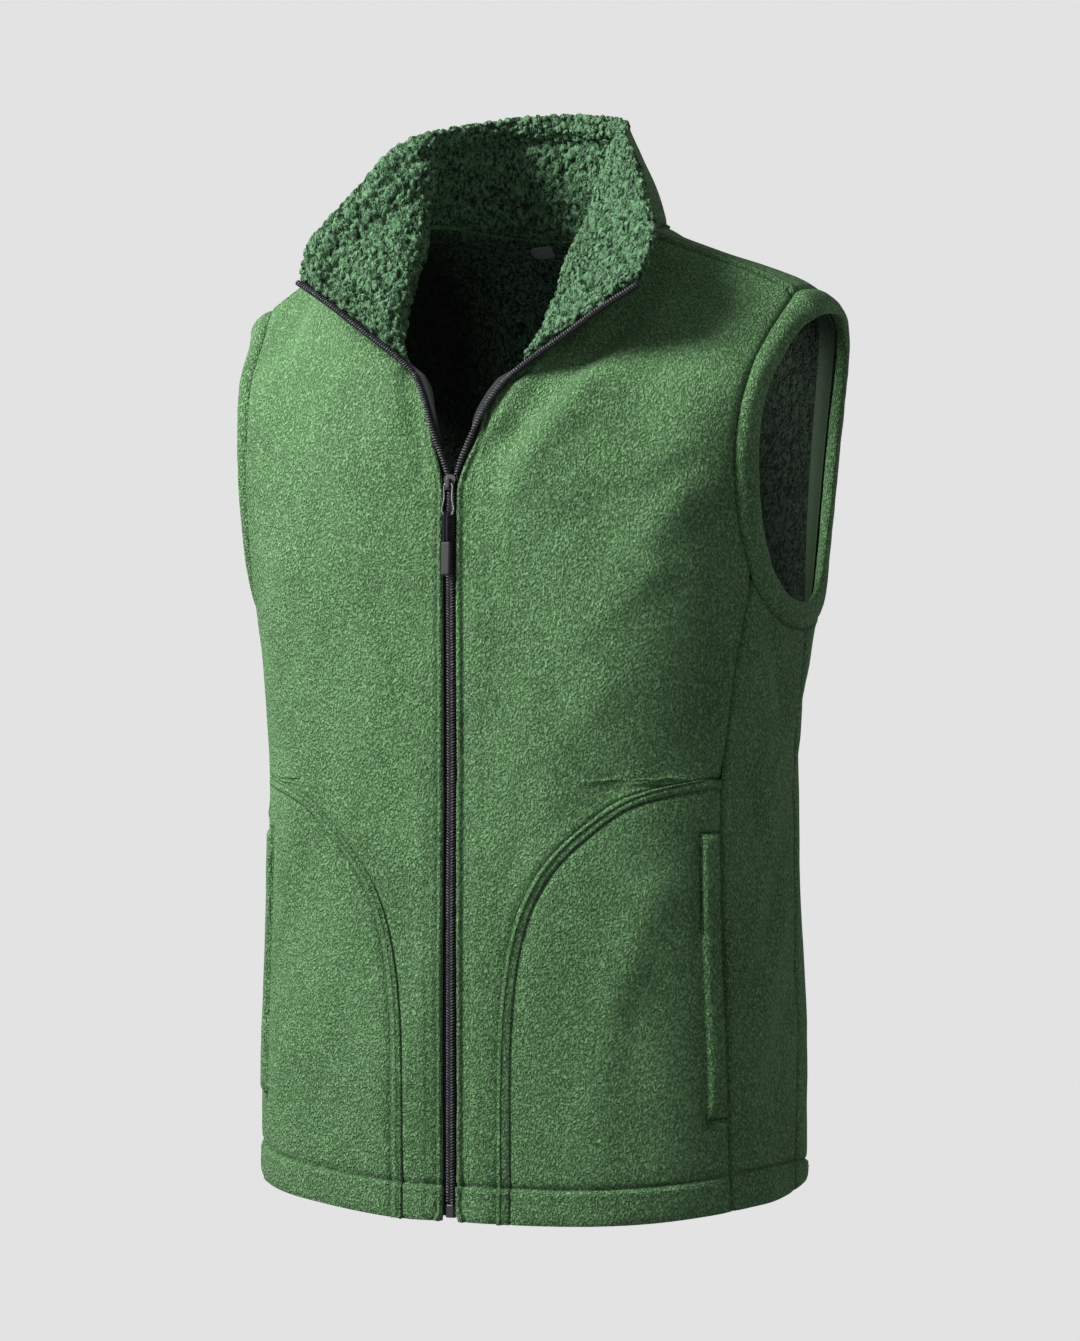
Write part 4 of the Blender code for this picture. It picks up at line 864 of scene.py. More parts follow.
# %% Table of the creases
# seen from, start across and up, end across and up, half width, height (metres, then mm)
CREASES = (
    ("front", 0.070, -0.098, 0.031, -0.172, 6.0, -2.52),
    ("front", 0.108, -0.078, 0.046, -0.152, 11.0, -8.4),
    ("front", 0.046, -0.150, 0.034, -0.200, 7.0, -2.94),
    ("front", 0.059, -0.094, 0.024, -0.160, 5.0, 2.52),
    ("front", 0.098, -0.122, 0.046, -0.196, 9.0, 2.94),
    ("front", 0.100, -0.152, 0.068, -0.176, 4.5, -1.89),
    ("front", 0.112, -0.166, 0.080, -0.186, 4.0, -1.26),
    ("front", 0.128, -0.196, 0.070, -0.232, 9.0, -1.89),
    ("front", 0.166, -0.205, 0.120, -0.262, 12.0, 2.31),
    ("front", 0.030, -0.250, 0.041, -0.330, 10.0, -1.47),
    ("front", 0.120, -0.330, 0.082, -0.372, 12.0, 2.1),
    ("front", 0.062, -0.398, 0.050, -0.460, 9.0, -1.68),
    ("front", 0.150, -0.470, 0.118, -0.540, 12.0, 2.1),
    ("front", 0.130, -0.560, 0.146, -0.640, 11.0, -1.89),
    ("front", 0.074, -0.600, 0.092, -0.652, 9.0, 1.68),
    ("front", 0.025, -0.520, 0.030, -0.600, 7.0, 1.05),
    ("front", -0.048, -0.106, -0.019, -0.176, 5.5, -3.15),
    ("front", -0.060, -0.108, -0.033, -0.182, 6.0, 2.31),
    ("front", -0.086, -0.120, -0.050, -0.205, 9.0, -1.68),
    ("front", -0.150, -0.060, -0.118, -0.128, 10.0, 2.52),
    ("front", -0.166, -0.082, -0.140, -0.150, 8.0, -1.89),
    ("front", -0.100, -0.240, -0.122, -0.330, 14.0, 1.89),
    ("front", -0.040, -0.300, -0.052, -0.362, 9.0, -1.26),
    ("front", -0.030, -0.390, -0.024, -0.450, 7.0, 1.05),
    ("front", -0.118, -0.420, -0.140, -0.500, 11.0, -1.68),
    ("front", -0.090, -0.520, -0.112, -0.590, 11.0, 1.68),
    ("front", -0.150, -0.610, -0.128, -0.664, 8.0, -1.68),
    ("front", -0.060, -0.612, -0.050, -0.655, 8.0, 1.05),
    ("left", -0.050, -0.300, -0.022, -0.345, 7.0, 2.31),
    ("left", -0.036, -0.292, -0.004, -0.352, 6.0, -2.1),
    ("left", -0.046, -0.380, -0.030, -0.440, 7.0, -1.68),
    ("left", -0.040, -0.486, -0.012, -0.418, 6.5, 3.15),
    ("left", -0.024, -0.500, 0.004, -0.436, 7.0, -1.89),
    ("left", -0.047, -0.604, -0.003, -0.486, 6.5, 3.36),
    ("left", -0.030, -0.618, 0.010, -0.520, 8.0, -2.1),
    ("left", 0.040, -0.330, 0.010, -0.372, 9.0, -1.89),
    ("left", 0.052, -0.470, 0.030, -0.560, 10.0, 2.1),
    ("right", -0.048, -0.298, -0.016, -0.350, 7.5, -2.31),
    ("right", -0.042, -0.420, -0.010, -0.372, 7.0, 2.73),
    ("right", -0.050, -0.560, -0.006, -0.462, 7.5, 3.15),
    ("right", -0.034, -0.640, 0.008, -0.556, 8.0, -1.89),
    ("right", 0.046, -0.360, 0.014, -0.410, 9.0, 1.89),
    ("right", 0.050, -0.520, 0.028, -0.604, 10.0, -1.89),
    ("back", 0.152, -0.250, 0.098, -0.300, 10.0, -2.52),
    ("back", 0.170, -0.180, 0.112, -0.236, 11.0, 2.31),
    ("back", 0.086, -0.046, 0.052, -0.098, 12.0, -1.89),
    ("back", 0.120, -0.400, 0.052, -0.452, 13.0, 2.1),
    ("back", 0.134, -0.520, 0.104, -0.622, 12.0, -2.1),
    ("back", 0.030, -0.300, 0.044, -0.420, 14.0, 1.68),
    ("back", -0.150, -0.240, -0.088, -0.306, 11.0, -2.73),
    ("back", -0.166, -0.160, -0.122, -0.228, 10.0, 1.89),
    ("back", -0.070, -0.052, -0.058, -0.120, 12.0, 1.68),
    ("back", -0.112, -0.420, -0.040, -0.470, 12.0, -1.89),
    ("back", -0.140, -0.560, -0.098, -0.640, 12.0, 2.1),
    ("back", -0.016, -0.520, -0.030, -0.640, 15.0, -1.68),
)
LOOKS = {"front": (0, -1), "back": (0, 1), "left": (1, 1), "right": (1, -1)}


def beside_line(flat, ends):
    """For each flat point, how far along a drawn line it is, 0 to 1, and how far off it."""
    start, line = np.array(ends[:2]), np.array(ends[2:]) - ends[:2]
    along = np.clip((flat - start) @ line / (line @ line), 0, 1)
    return along, np.linalg.norm(flat - start - along[:, None] * line, axis=1)


def crease_relief(points, normals):
    """Height of all the creases at each point. Each is half as high at its far end."""
    height = np.zeros(len(points))
    for seen, *ends, half, tall in CREASES:
        axis, sign = LOOKS[seen]
        share = np.clip(normals[:, 1 - axis] * sign * 2.2 - 0.6, 0, 1)
        along, off = beside_line(points[:, [axis, 2]], ends)
        height += share * (1 - 0.5 * along) * tall * MM * bell(off, half * MM)
    return height


print("creases:", len(CREASES))

# %% [markdown]
# ## Shape the panels
# First the mesh is cut finer beside the seams and along the hem's stitch line. Then each point
# moves along the cloth's own direction by what its seams, its creases and a little unevenness
# ask. Points of the cut edge follow the face they belong to, less so the deeper they lie. A
# crease bends the whole cloth, so the inside follows it.


# %% Move the outside faces
EDGE_WIDE, EDGE_DEEP = 2.5 * MM, 4 * MM      # how far an edge's roll reaches in and down


def outward_field(mesh, edge_line):
    """For each point, the direction out of the cloth's face, steady across the rolled edge."""
    points, normals = as_arrays(mesh)
    outside, inside, _ = kinds_of_points(mesh)
    far = distances(points, edge_line, 6 * MM)
    firm = np.where(outside & ~inside & (far > EDGE_WIDE))[0]
    tree = tree_of(points[firm])
    field = normals.copy()
    for number in np.where(far <= EDGE_WIDE)[0]:
        field[number] = normals[firm[tree.find(points[number])[1]]]
    return field


def depth_share(mesh, field, edge_line):
    """1 on the outside face, falling to 0 at the depth of the cut edge."""
    points, _ = as_arrays(mesh)
    outside, _, edge = kinds_of_points(mesh)
    share = np.where(outside, 1.0, 0.0)
    tree = tree_of(evenly(edge_line, 0.8 * MM))
    for number in np.where(edge & ~outside)[0]:
        near = np.array(tree.find(points[number])[0])
        depth = abs((points[number] - near) @ field[number])
        share[number] = max(0.0, 1 - depth / EDGE_DEEP)
    return share


def closed(line):
    return np.array([*line, line[0]])


def near_seams(panel):
    """Says of points whether they lie where the mesh has to be fine."""
    def wanted(points):
        fine = distances(points, closed(CUT_LINES[panel]), 14 * MM) < 9.5 * MM
        hem = distances(points, LINES[panel, "hem"], 34 * MM)
        if panel.startswith("pocket_panel"):
            fine |= distances(points, WELT_LINES[panel[-1]], 8 * MM) < 4 * MM
        return fine | (abs(hem - 25 * MM) < 4.5 * MM)
    return wanted


def only_outside(mesh, wanted):
    """Keeps a wish for a finer mesh to the outside face."""
    def flags(points):
        outside, inside, _ = kinds_of_points(mesh)
        return wanted(points) & outside & ~inside
    return flags


WELT_LINES = {side: closed(cut_line(f"pocket_welt_{side}")) for side in "LR"}


def beside_welt(panel, points, half):
    """1 on the line round the pocket panel's welt, falling to 0 beside it."""
    if not panel.startswith("pocket_panel"):
        return np.zeros(len(points))
    return bell(distances(points, WELT_LINES[panel[-1]], 8 * MM), half)


PRESSED = 0.5 * MM     # how far cut edges press into each other
# painted shade on the lining: how dark it is painted away from the neck and lower down, where
# little light reaches inside
INNER_SHADE_ASIDE, INNER_SHADE_BELOW = 0.9, 0.25     # how dark the lining gets away from the neck
PANEL_RELIEF = {}
for panel in PANELS:
    mesh = CLOTH[panel]
    finer(mesh, only_outside(mesh, near_seams(panel)), 2.0 * MM)
    loop = closed(CUT_LINES[panel])
    field = outward_field(mesh, loop)
    points, normals = as_arrays(mesh)
    relief = seam_relief(panel, points)
    bend = crease_relief(points, field) - crease_relief(points, -field)
    relief -= 2.2 * MM * beside_welt(panel, points, 1.8 * MM)
    # painted shade: darker nap along seams and stitch rows, where it is also pressed, and a painted
    # shadow in the gap round the welt
    sunk = np.maximum(pressed_and_shaded_nap(panel, points), 0.8 * beside_welt(panel, points, 1.4 * MM))
    # painted shade on the inside faces: darker to the sides and lower down, away from the openings
    painted_inner_shade = np.maximum(
        INNER_SHADE_ASIDE * np.clip((abs(points[:, 0]) - 80 * MM) / (40 * MM), 0, 1),
        INNER_SHADE_BELOW * np.clip((-100 * MM - points[:, 2]) / (80 * MM), 0, 1))
    outside, inside, _ = kinds_of_points(mesh)
    keep(mesh, "sunk", np.where(inside & ~outside, painted_inner_shade, sunk))
    relief += 0.35 * MM * waves(points, 38 * MM, 5) + 0.18 * MM * waves(points, 13 * MM, 6)
    share = depth_share(mesh, field, loop)
    moved(mesh, relief * share + bend, field)
    outside, inside, edge = kinds_of_points(mesh)
    moved(mesh, PRESSED * (edge & ~outside & ~inside), normals)
    total = (relief + bend) / MM
    PANEL_RELIEF[panel] = (round(total.min(), 1), round(total.max(), 1))
print("relief in mm, lowest and highest:", PANEL_RELIEF)

# %% [markdown]
# ## Curled pile
# Bump alone leaves the outline of sherpa smooth, and the eye sees that at once. So the pile is
# real relief: rounded knots with gaps between them, bent by waves so that no two are alike. How
# high each point stands is also kept as an attribute, and the sherpa material reads it to darken
# the roots, as painted shade between the curls. Only what shows through the neck and the armholes
# is cut fine enough for it.


# %% Pile as relief
LINING_KNOT, COLLAR_KNOT = 4.6 * MM, 5.2 * MM


def pile_height(points, size):
    """0 at the roots and 1 on top of the curls."""
    drift = np.column_stack([waves(points, 3.4 * MM, k) for k in (11, 12, 13)]) * 1.3 * MM
    near, second = knots(points + drift, size)
    dome = np.sqrt(np.clip(1 - (near / 0.82) ** 2, 0, 1))
    gap = np.clip((second - near) / 0.25, 0, 1)
    curl = 0.5 + 0.5 * waves(points + 1.6 * drift, 1.9 * MM, 17)
    return dome * (0.4 + 0.6 * gap) * (0.7 + 0.3 * curl)


def seen_inside(panel):
    """Where the inside shows: through the neck, the open zip and the armholes."""
    def wanted(points):
        _, inside, _ = kinds_of_points(CLOTH[panel])
        if panel == "back":
            return inside & (points[:, 2] > -0.27)
        by_zip = distances(points, LINES[panel, "zip"], 50 * MM) < 34 * MM
        return inside & by_zip & (points[:, 2] > -0.2)
    return wanted


for panel in ("back", "front_L", "front_R"):
    finer(CLOTH[panel], seen_inside(panel), 2.7 * MM)
for panel in PANELS:
    mesh = CLOTH[panel]
    points, normals = as_arrays(mesh)
    outside, inside, edge = kinds_of_points(mesh)
    height = pile_height(points, LINING_KNOT)
    room = np.ones(len(points))
    if panel.startswith("front"):
        room = np.clip((distances(points, LINES[panel, "zip"], 30 * MM) - 9 * MM) / (6 * MM), 0, 1)
        room[points[:, 2] > -0.19] = 1
    moved(mesh, (height - 0.45) * 1.5 * MM * room * (inside & ~outside & ~edge), normals)
    keep(mesh, "pile", height)

# %% [markdown]
# ## The collar
# The collar is sherpa on the face that shows, since it is folded open. Its pile is longer than
# inside the body and hangs over the edge, so the relief dies out on the fleece outside, and it
# stops short of the neck seam. A soft crease runs below the rolled edge, where the fold's seam
# pulls. The folds are drawn one by one, because they are what the eye knows this collar by.

# %% Shape the collar
# folds of the open collar as the eye sees them: start across and up, end across and up, in metres
# from the middle of the picture; then half width and height in mm
COLLAR_FOLDS = (
    (-0.074, 0.030, -0.140, -0.012, 5.0, -2.6),
    (-0.086, 0.040, -0.128, 0.016, 6.0, 1.4),
    (-0.060, 0.046, -0.058, 0.004, 5.0, -2.4),
    (-0.046, 0.050, -0.044, 0.012, 5.0, 1.2),
    (-0.016, 0.050, -0.004, 0.018, 6.0, 0.9),
    (0.020, 0.052, 0.034, 0.022, 6.0, -1.0),
    (0.062, 0.030, 0.036, -0.034, 6.0, -1.3),
    (0.078, -0.006, 0.052, -0.046, 6.0, 1.2),
)
ROLL_LOW, ROLL_HALF, ROLL_DEPTH = 21 * MM, 3.2 * MM, 1.9 * MM
PILE_TALL, PILE_OVER_EDGE, SEATED = 3.4 * MM, 4.5 * MM, 1.2 * MM


def collar_folds(points, normals):
    """Height of the collar's folds at each point that looks towards the eye."""
    turn = np.array((math.cos(AZIMUTH), math.sin(AZIMUTH)))
    seen = np.clip(normals[:, :2] @ np.array((turn[1], -turn[0])) * 2.2 - 0.2, 0, 1)
    flat = np.column_stack([points[:, :2] @ turn, points[:, 2]])
    height = np.zeros(len(points))
    for *ends, half, tall in COLLAR_FOLDS:
        height += tall * MM * seen * bell(beside_line(flat, ends)[1], half * MM)
    return height


collar_mesh = CLOTH["collar"]
collar_edge = closed(cut_line("collar", NECK))
finer(collar_mesh, lambda p: kinds_of_points(collar_mesh)[1], 1.9 * MM)
points, normals = as_arrays(collar_mesh)
outside, inside, edge = kinds_of_points(collar_mesh)
from_edge = distances(points, collar_edge, 30 * MM)
height = pile_height(points, COLLAR_KNOT)
body_panels = [SOLIDS[p] for p in ("back", "front_L", "front_R")]
found = [min((t.find_nearest(q) for t in body_panels), key=lambda f: f[3]) for q in points]
off_seam = np.array([f[3] for f in found])
rim = np.where(edge, 1.0, np.clip(1.3 - from_edge / PILE_OVER_EDGE, 0, 1))
woolly = np.where(inside & ~edge, 1.0, rim * np.clip(off_seam / (3 * MM) - 1.3, 0, 1))
towards = np.array([f[0] for f in found]) - points
free = np.clip(off_seam / (5 * MM) - 0.3, 0, 1)
relief = woolly * (height - 0.36) * PILE_TALL + 0.5 * MM * waves(points, 16 * MM, 21)
inner_face = inside & ~edge
relief += inner_face * collar_folds(points, normals)
relief -= inner_face * ROLL_DEPTH * bell(from_edge - ROLL_LOW, ROLL_HALF)
moved(collar_mesh, free * relief, normals)
low_rim = (off_seam < 5 * MM) & edge & (points[:, 1] > -50 * MM)
sink = towards * (1 + SEATED / np.maximum(off_seam, 0.3 * MM))[:, None]
put(collar_mesh, as_arrays(collar_mesh)[0] + np.where(low_rim[:, None], sink, 0))
keep(collar_mesh, "pile", height)
# painted shade along the collar's neck seam, where it meets the body
keep(collar_mesh, "sunk", bell(off_seam, 2 * MM) * 0.9)
for face in collar_mesh.polygons:
    share = woolly[list(face.vertices)].mean()
    face.material_index = INSIDE if share > 0.3 else OUTSIDE
print("collar points:", len(points), "seated on the neck seam:", int(low_rim.sum()))

# %% [markdown]
# ## Small cloth: bands, facings, welts, tapes, loop
# The armhole band is a padded roll of the same fleece. The pocket welt is a narrow strip of it,
# doubled, so it stands up a little between its two edges. They get the same soft unevenness. The
# welt's points are dropped onto the shaped panels and then raised, so it follows every crease.

# %% Shape the small cloth
WELT_RISE, WELT_EDGE, WELT_ROUND = 3.3, -0.7, 3.0      # mm above the panels, and its edge's radius


def outside_tree(mesh):
    """Search tree of the outside faces of a cloth piece."""
    faces = [tuple(f.vertices) for f in mesh.polygons if f.material_index == OUTSIDE]
    return BVHTree.FromPolygons(as_arrays(mesh)[0].tolist(), faces)


for side in "LR":
    band = CLOTH[f"armhole_band_{side}"]
    finer(band, everywhere, 5.0 * MM)
    points, normals = as_arrays(band)
    uneven = 0.35 * waves(points, 17 * MM, 31) + 0.25 * waves(points, 7 * MM, 32)
    moved(band, uneven * MM, normals)
    welt = CLOTH[f"pocket_welt_{side}"]
    finer(welt, everywhere, 4.0 * MM)
    outside, _, edge = kinds_of_points(welt)
    points, _ = as_arrays(welt)
    off = distances(points, WELT_LINES[side], 12 * MM)
    rounded_over = np.clip(off / (WELT_ROUND * MM), 0, 1) ** 0.5
    height = WELT_RISE * rounded_over + WELT_EDGE + 0.25 * waves(points, 9 * MM, 33)
    beside = [outside_tree(CLOTH[f"{panel}_{side}"]) for panel in ("pocket_panel", "side_front")]
    for i in np.flatnonzero(outside | edge):
        place, normal, _, _ = min((t.find_nearest(points[i]) for t in beside), key=lambda f: f[3])
        lift = max(height[i], -0.8) * MM if outside[i] and not edge[i] else -0.8 * MM
        points[i] += np.array(normal) * (lift - (Vector(points[i]) - place).dot(normal))
    put(welt, points)
small = ("armhole_band_L", "pocket_welt_L")
print("band and welt points:", [len(CLOTH[node].vertices) for node in small])

# %% [markdown]
# ## The hem's corners
# Seen from the front, the hem turns up where it goes round the side, as a stiff turned-up edge
# does. All the cloth moves together here, so no seam opens.

# %% Turn the hem up at the sides
HEM_TURN, HEM_TURN_FROM, HEM_TURN_REACH = 20 * MM, 0.160, 0.040
HEM_TOP, HEM_FADE = min(as_arrays(CLOTH["back"])[0][:, 2]) + 0.040, 0.030
for mesh in CLOTH.values():
    points, _ = as_arrays(mesh)
    seen_out = abs(points[:, 0]) * math.cos(AZIMUTH) + points[:, 1] * math.sin(AZIMUTH)
    out = np.clip((seen_out - HEM_TURN_FROM) / HEM_TURN_REACH, 0, 1)
    down = np.clip((HEM_TOP - points[:, 2]) / HEM_FADE, 0, 1)
    points[:, 2] += HEM_TURN * out ** 2 * down
    put(mesh, points)
print("hem turned up by mm:", HEM_TURN / MM)

# %% [markdown]
# ## Name the pieces
# Each piece rides on the vest's body and stands for its solid. The table says how wide and long
# each cut is, as it lies flat, and its true area.

# %% Table of the cuts
# kind of node, piece's name, finish, cut's width and length in mm, area in cm2 or 0, how it is held
CUTS = (
    ("front", "front_cloth", "green_fleece", 196, 755, 930, "draped"),
    ("pocket_panel", "lower_front_cloth", "green_fleece", 163, 310, 432, "draped"),
    ("side_front", "side_front_cloth", "green_fleece", 90, 445, 328, "draped"),
    ("back", "back_cloth", "green_fleece", 530, 760, 3430, "draped"),
    ("collar", "sherpa_collar", "green_sherpa", 90, 560, 0, "draped"),
    ("armhole_band", "armhole_roll", "green_fleece", 28, 540, 0, "stretched"),
    ("armhole_facing", "armhole_tricot", "smooth_knit", 22, 560, 0, "draped"),
    ("pocket_welt", "welt_cloth", "green_fleece", 16, 200, 0, "draped"),
    ("zip_tape", "zip_webbing", "woven_tape", 11, 690, 57, "draped"),
    ("neck_loop", "loop_webbing", "woven_tape", 15, 14, 0, "folded"),
)
# outside, inside and cut edge; what isn't named is bonded cloth, fleece out and sherpa in
CLOTH_FACES = {
    "collar": [FLEECE, SHERPA, FLEECE], "armhole_band": [FLEECE] * 3, "pocket_welt": [FLEECE] * 3,
    "armhole_facing": [TRICOT] * 3, "zip_tape": [TAPE] * 3, "neck_loop": [WEBBING_PAINTED_LIGHT] * 3,
}
for kind, name, finish, wide, long, area, held in CUTS:
    for node in [n for n in CLOTH if kind_of(n) == kind]:
        mesh = CLOTH[node]
        materials = CLOTH_FACES.get(kind, [FLEECE, SHADED_LINING, FLEECE])
        piece = place_piece(name + node[len(kind):], mesh, materials, VEST, node, slot=finish)
        mesh.calc_loop_triangles()
        half = sum(face.area for face in mesh.polygons) / 2
        print(piece.name, len(mesh.loop_triangles), "triangles, cloth", round(half * 1e4), "cm2")

# %% [markdown]
# ## Bars, for thread and teeth
# Stitches, zip teeth and cord strands are all short round bars. Hundreds of them are made at once
# as one joined mesh, from arrays: every bar has the same number of points and of sides.

# %% Many bars in one mesh
def bar_mesh(name, paths, radii, guides, sides=6):
    """Round bars with closed ends. paths: bar, point, place. guides: a way square to each bar."""
    paths = np.asarray(paths, float)
    count, size, _ = paths.shape
    ahead = np.gradient(paths, axis=1)
    ahead /= np.linalg.norm(ahead, axis=2, keepdims=True)
    aside = np.cross(ahead, np.broadcast_to(np.asarray(guides, float)[:, None], paths.shape))
    aside /= np.linalg.norm(aside, axis=2, keepdims=True)
    lift = np.cross(aside, ahead)
    turns = 2 * math.pi * np.arange(sides) / sides
    ring = aside[:, :, None] * np.cos(turns)[:, None] + lift[:, :, None] * np.sin(turns)[:, None]
    points = paths[:, :, None] + ring * np.asarray(radii)[:, None, None]
    k = np.arange(sides)
    first = (np.arange(count)[:, None, None] * size + np.arange(size - 1)[None, :, None]) * sides
    here, after = first + k, first + (k + 1) % sides
    walls = np.stack([here, here + sides, after + sides, after], axis=-1).reshape(-1, 4)
    ends = np.arange(count)[:, None] * size * sides + k
    faces = walls.tolist() + ends.tolist() + (ends + (size - 1) * sides)[:, ::-1].tolist()
    mesh = bpy.data.meshes.new(name)
    mesh.from_pydata(points.reshape(-1, 3).tolist(), [], faces)
    mesh.shade_smooth()
    return mesh


def unit(vectors):
    return vectors / np.linalg.norm(vectors, axis=-1, keepdims=True)


# %% [markdown]
# ## Stitches
# The seams that show are topstitched with matching thread, about 3 mm a stitch. The thread pulls
# into the nap, so each stitch is a short arch whose ends dive into the cloth. The places come from
# the seams: step along an edge, go in by the row's distance, and drop onto the shaped cloth.

# %% Sew the rows
STITCH_PITCH, STITCH_LENGTH, THREAD_RADIUS = 3.1 * MM, 2.6 * MM, 0.26 * MM
ARCH = ((-0.5, -0.5), (-0.36, 0.02), (0.0, 0.16), (0.36, 0.02), (0.5, -0.5))  # share along, mm up


def row_of_stitches(tree, line, at):
    """Places on the cloth, at metres in from the line: place, way along, way out."""
    fine = evenly(line, STITCH_PITCH)
    ahead = unit(np.gradient(fine, axis=0))
    out = np.array([tree.find_nearest(p)[1] for p in fine])
    aside = unit(np.cross(out, ahead))
    misses = [sum(tree.find_nearest(p)[3] for p in fine + sign * at * aside) for sign in (1, -1)]
    wanted = fine + (at if misses[0] < misses[1] else -at) * aside
    found = [tree.find_nearest(p)[:2] for p in wanted]
    places = np.array([f[0] for f in found])
    return places, ahead, np.array([f[1] for f in found])


def stitch_paths(places, ahead, out):
    return [[p + a * STITCH_LENGTH * share + o * up * MM for share, up in ARCH]
            for p, a, o in zip(places, ahead, out)]


paths, guides = [], []
for panel in PANELS:
    tree = outside_tree(CLOTH[panel])
    for neighbour, line, _, _, at, _ in seams_of(panel):
        if at < ROW_FROM or len(line) < 4:
            continue
        places, ahead, out = row_of_stitches(tree, line, at)
        paths += stitch_paths(places, ahead, out)
        guides += list(out)
radii = THREAD_RADIUS * np.array((0.7, 1, 1, 1, 0.7))
stitch_mesh = bar_mesh("stitches", paths, radii, guides, sides=5)
place_piece("topstitching", stitch_mesh, [THREAD], VEST, slot="green_fleece")
print("stitches:", len(paths))

# %% [markdown]
# ## Walk along a bar
# The coils and tapes of the zip are long bars in the solids. A plane is stepped along a bar, square
# to it, and each cut gives the bar's middle and its wide way. So the teeth follow every bend.

# %% Step along a bar
FIRST_CUT = np.array((0, 0, 0.6 * MM))      # above the bar's lowest end


def section(ends, centre, ahead, reach):
    """Where a plane cuts a bar near centre: the cut's middle and its wide direction."""
    first, last = (ends[:, 0] - centre) @ ahead, (ends[:, 1] - centre) @ ahead
    cut = (first * last <= 0) & (first != last)
    share = (first[cut] / (first[cut] - last[cut]))[:, None]
    points = ends[cut, 0] + (ends[cut, 1] - ends[cut, 0]) * share
    points = points[np.linalg.norm(points - centre, axis=1) < reach]
    if len(points) < 4:
        return None
    middle = points.mean(0)
    ways = np.linalg.svd(points - middle)[2][:2]
    sizes = (points - middle) @ ways.T
    return middle + (sizes.min(0) + sizes.max(0)) / 2 @ ways, ways[0]


def bar_line(node, step, reach):
    """Rows of middle, way along and way across, from a bar's lowest end to its other end."""
    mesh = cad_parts[node].data
    corners, _ = as_arrays(mesh)
    ends = corners[np.array([e.vertices[:] for e in mesh.edges])]
    low = corners[corners[:, 2] < corners[:, 2].min() + 0.5 * MM]
    centre, ahead, across = low.mean(0) + FIRST_CUT, np.array(UP), np.array(ACROSS)
    rows = []
    while True:
        found = section(ends, centre, ahead, reach)
        if found is None:
            break
        middle, wide = found
        if rows:
            ahead = unit(middle - rows[-1][0])
        across = wide if wide @ across > 0 else -wide
        rows.append((middle, ahead, across))
        centre = middle + ahead * step
    return np.array(rows)


# %% [markdown]
# ## Zip teeth
# A coil zip's teeth are one nylon filament wound to a flat spiral, and sewn to the tape. Closed,
# the two spirals mesh, and their turns lean towards the middle: a row of chevrons that point down,
# two millimetres apart. Each turn is a bent bar. The coil's own solid stays below as its core.

# %% Wind the coils
TOOTH_PITCH = 2.0 * MM
# one turn of the closed coil and one of an open coil, in mm: across, up the zip, out
CLOSED_TURN = ((0.25, -0.60, 1.35), (1.25, -0.30, 1.75), (2.4, 0.25, 1.60), (3.3, 0.62, 0.2))
OPEN_TURN = (
    (-2.0, -0.4, -0.3), (-1.4, -0.25, 1.3), (0, 0, 1.7), (1.4, 0.25, 1.3), (2.0, 0.4, -0.3))
CLOSED_RADII, OPEN_RADII = (0.32, 0.38, 0.38, 0.32), (0.35, 0.42, 0.48, 0.42, 0.35)     # mm


def wound(rows, turn, side):
    """A bar for each row. side mirrors the turn across the zip."""
    middle, ahead, across = rows[:, 0], rows[:, 1], rows[:, 2]
    out = np.cross(across, ahead)
    paths = [middle + across * w * side * MM + ahead * u * MM + out * o * MM for w, u, o in turn]
    return np.stack(paths, axis=1), out


rows = bar_line("zip_coil_closed", TOOTH_PITCH / 2, 6 * MM)
left_turns, left_out = wound(rows[::2], CLOSED_TURN, 1)
right_turns, right_out = wound(rows[1::2], CLOSED_TURN, -1)
teeth = bar_mesh(
    "teeth", np.concatenate([left_turns, right_turns]), np.array(CLOSED_RADII) * MM,
    np.concatenate([left_out, right_out]))
place_piece("coil_teeth", teeth, [NYLON_PAINTED_GLINT], VEST, slot="nylon_coil")
print("closed teeth:", len(left_turns) + len(right_turns))
for side, sign in (("L", 1), ("R", -1)):
    rows = bar_line(f"zip_coil_{side}", TOOTH_PITCH, 3.2 * MM)
    turns, out = wound(rows, OPEN_TURN, sign)
    teeth = bar_mesh("teeth", turns, np.array(OPEN_RADII) * MM, out)
    place_piece(f"open_coil_teeth_{side}", teeth, [NYLON_PAINTED_GLINT], VEST, slot="nylon_coil")
    print("open teeth", side, len(turns), "end at", rows[-1][0].round(3))
for node in ("zip_coil_closed", "zip_coil_L", "zip_coil_R"):
    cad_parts[node].material_slots[0].material = CORE

# %% [markdown]
# ## Slider, end box and pull
# Die casting leaves every edge rounded, and paint rounds it more. The wire of the bail is drawn, so
# it is truly round. The grip is moulded with soft corners. So each takes its solid's form, and its
# edges are bevelled in small steps. The normals are weighed by area, so that flat faces stay flat.

# %% Round the hard pieces
def rounded(node, edge, segments):
    """The node's solid with flat faces joined and its sharp edges rounded."""
    cage = joined_solid(node)
    bmesh.ops.dissolve_limit(cage, verts=cage.verts, edges=cage.edges, angle_limit=math.radians(3))
    sharp = [e for e in cage.edges if e.calc_face_angle(0.0) > math.radians(25)]
    bevelled(cage, sharp, edge, segments)
    return as_mesh(cage, node)


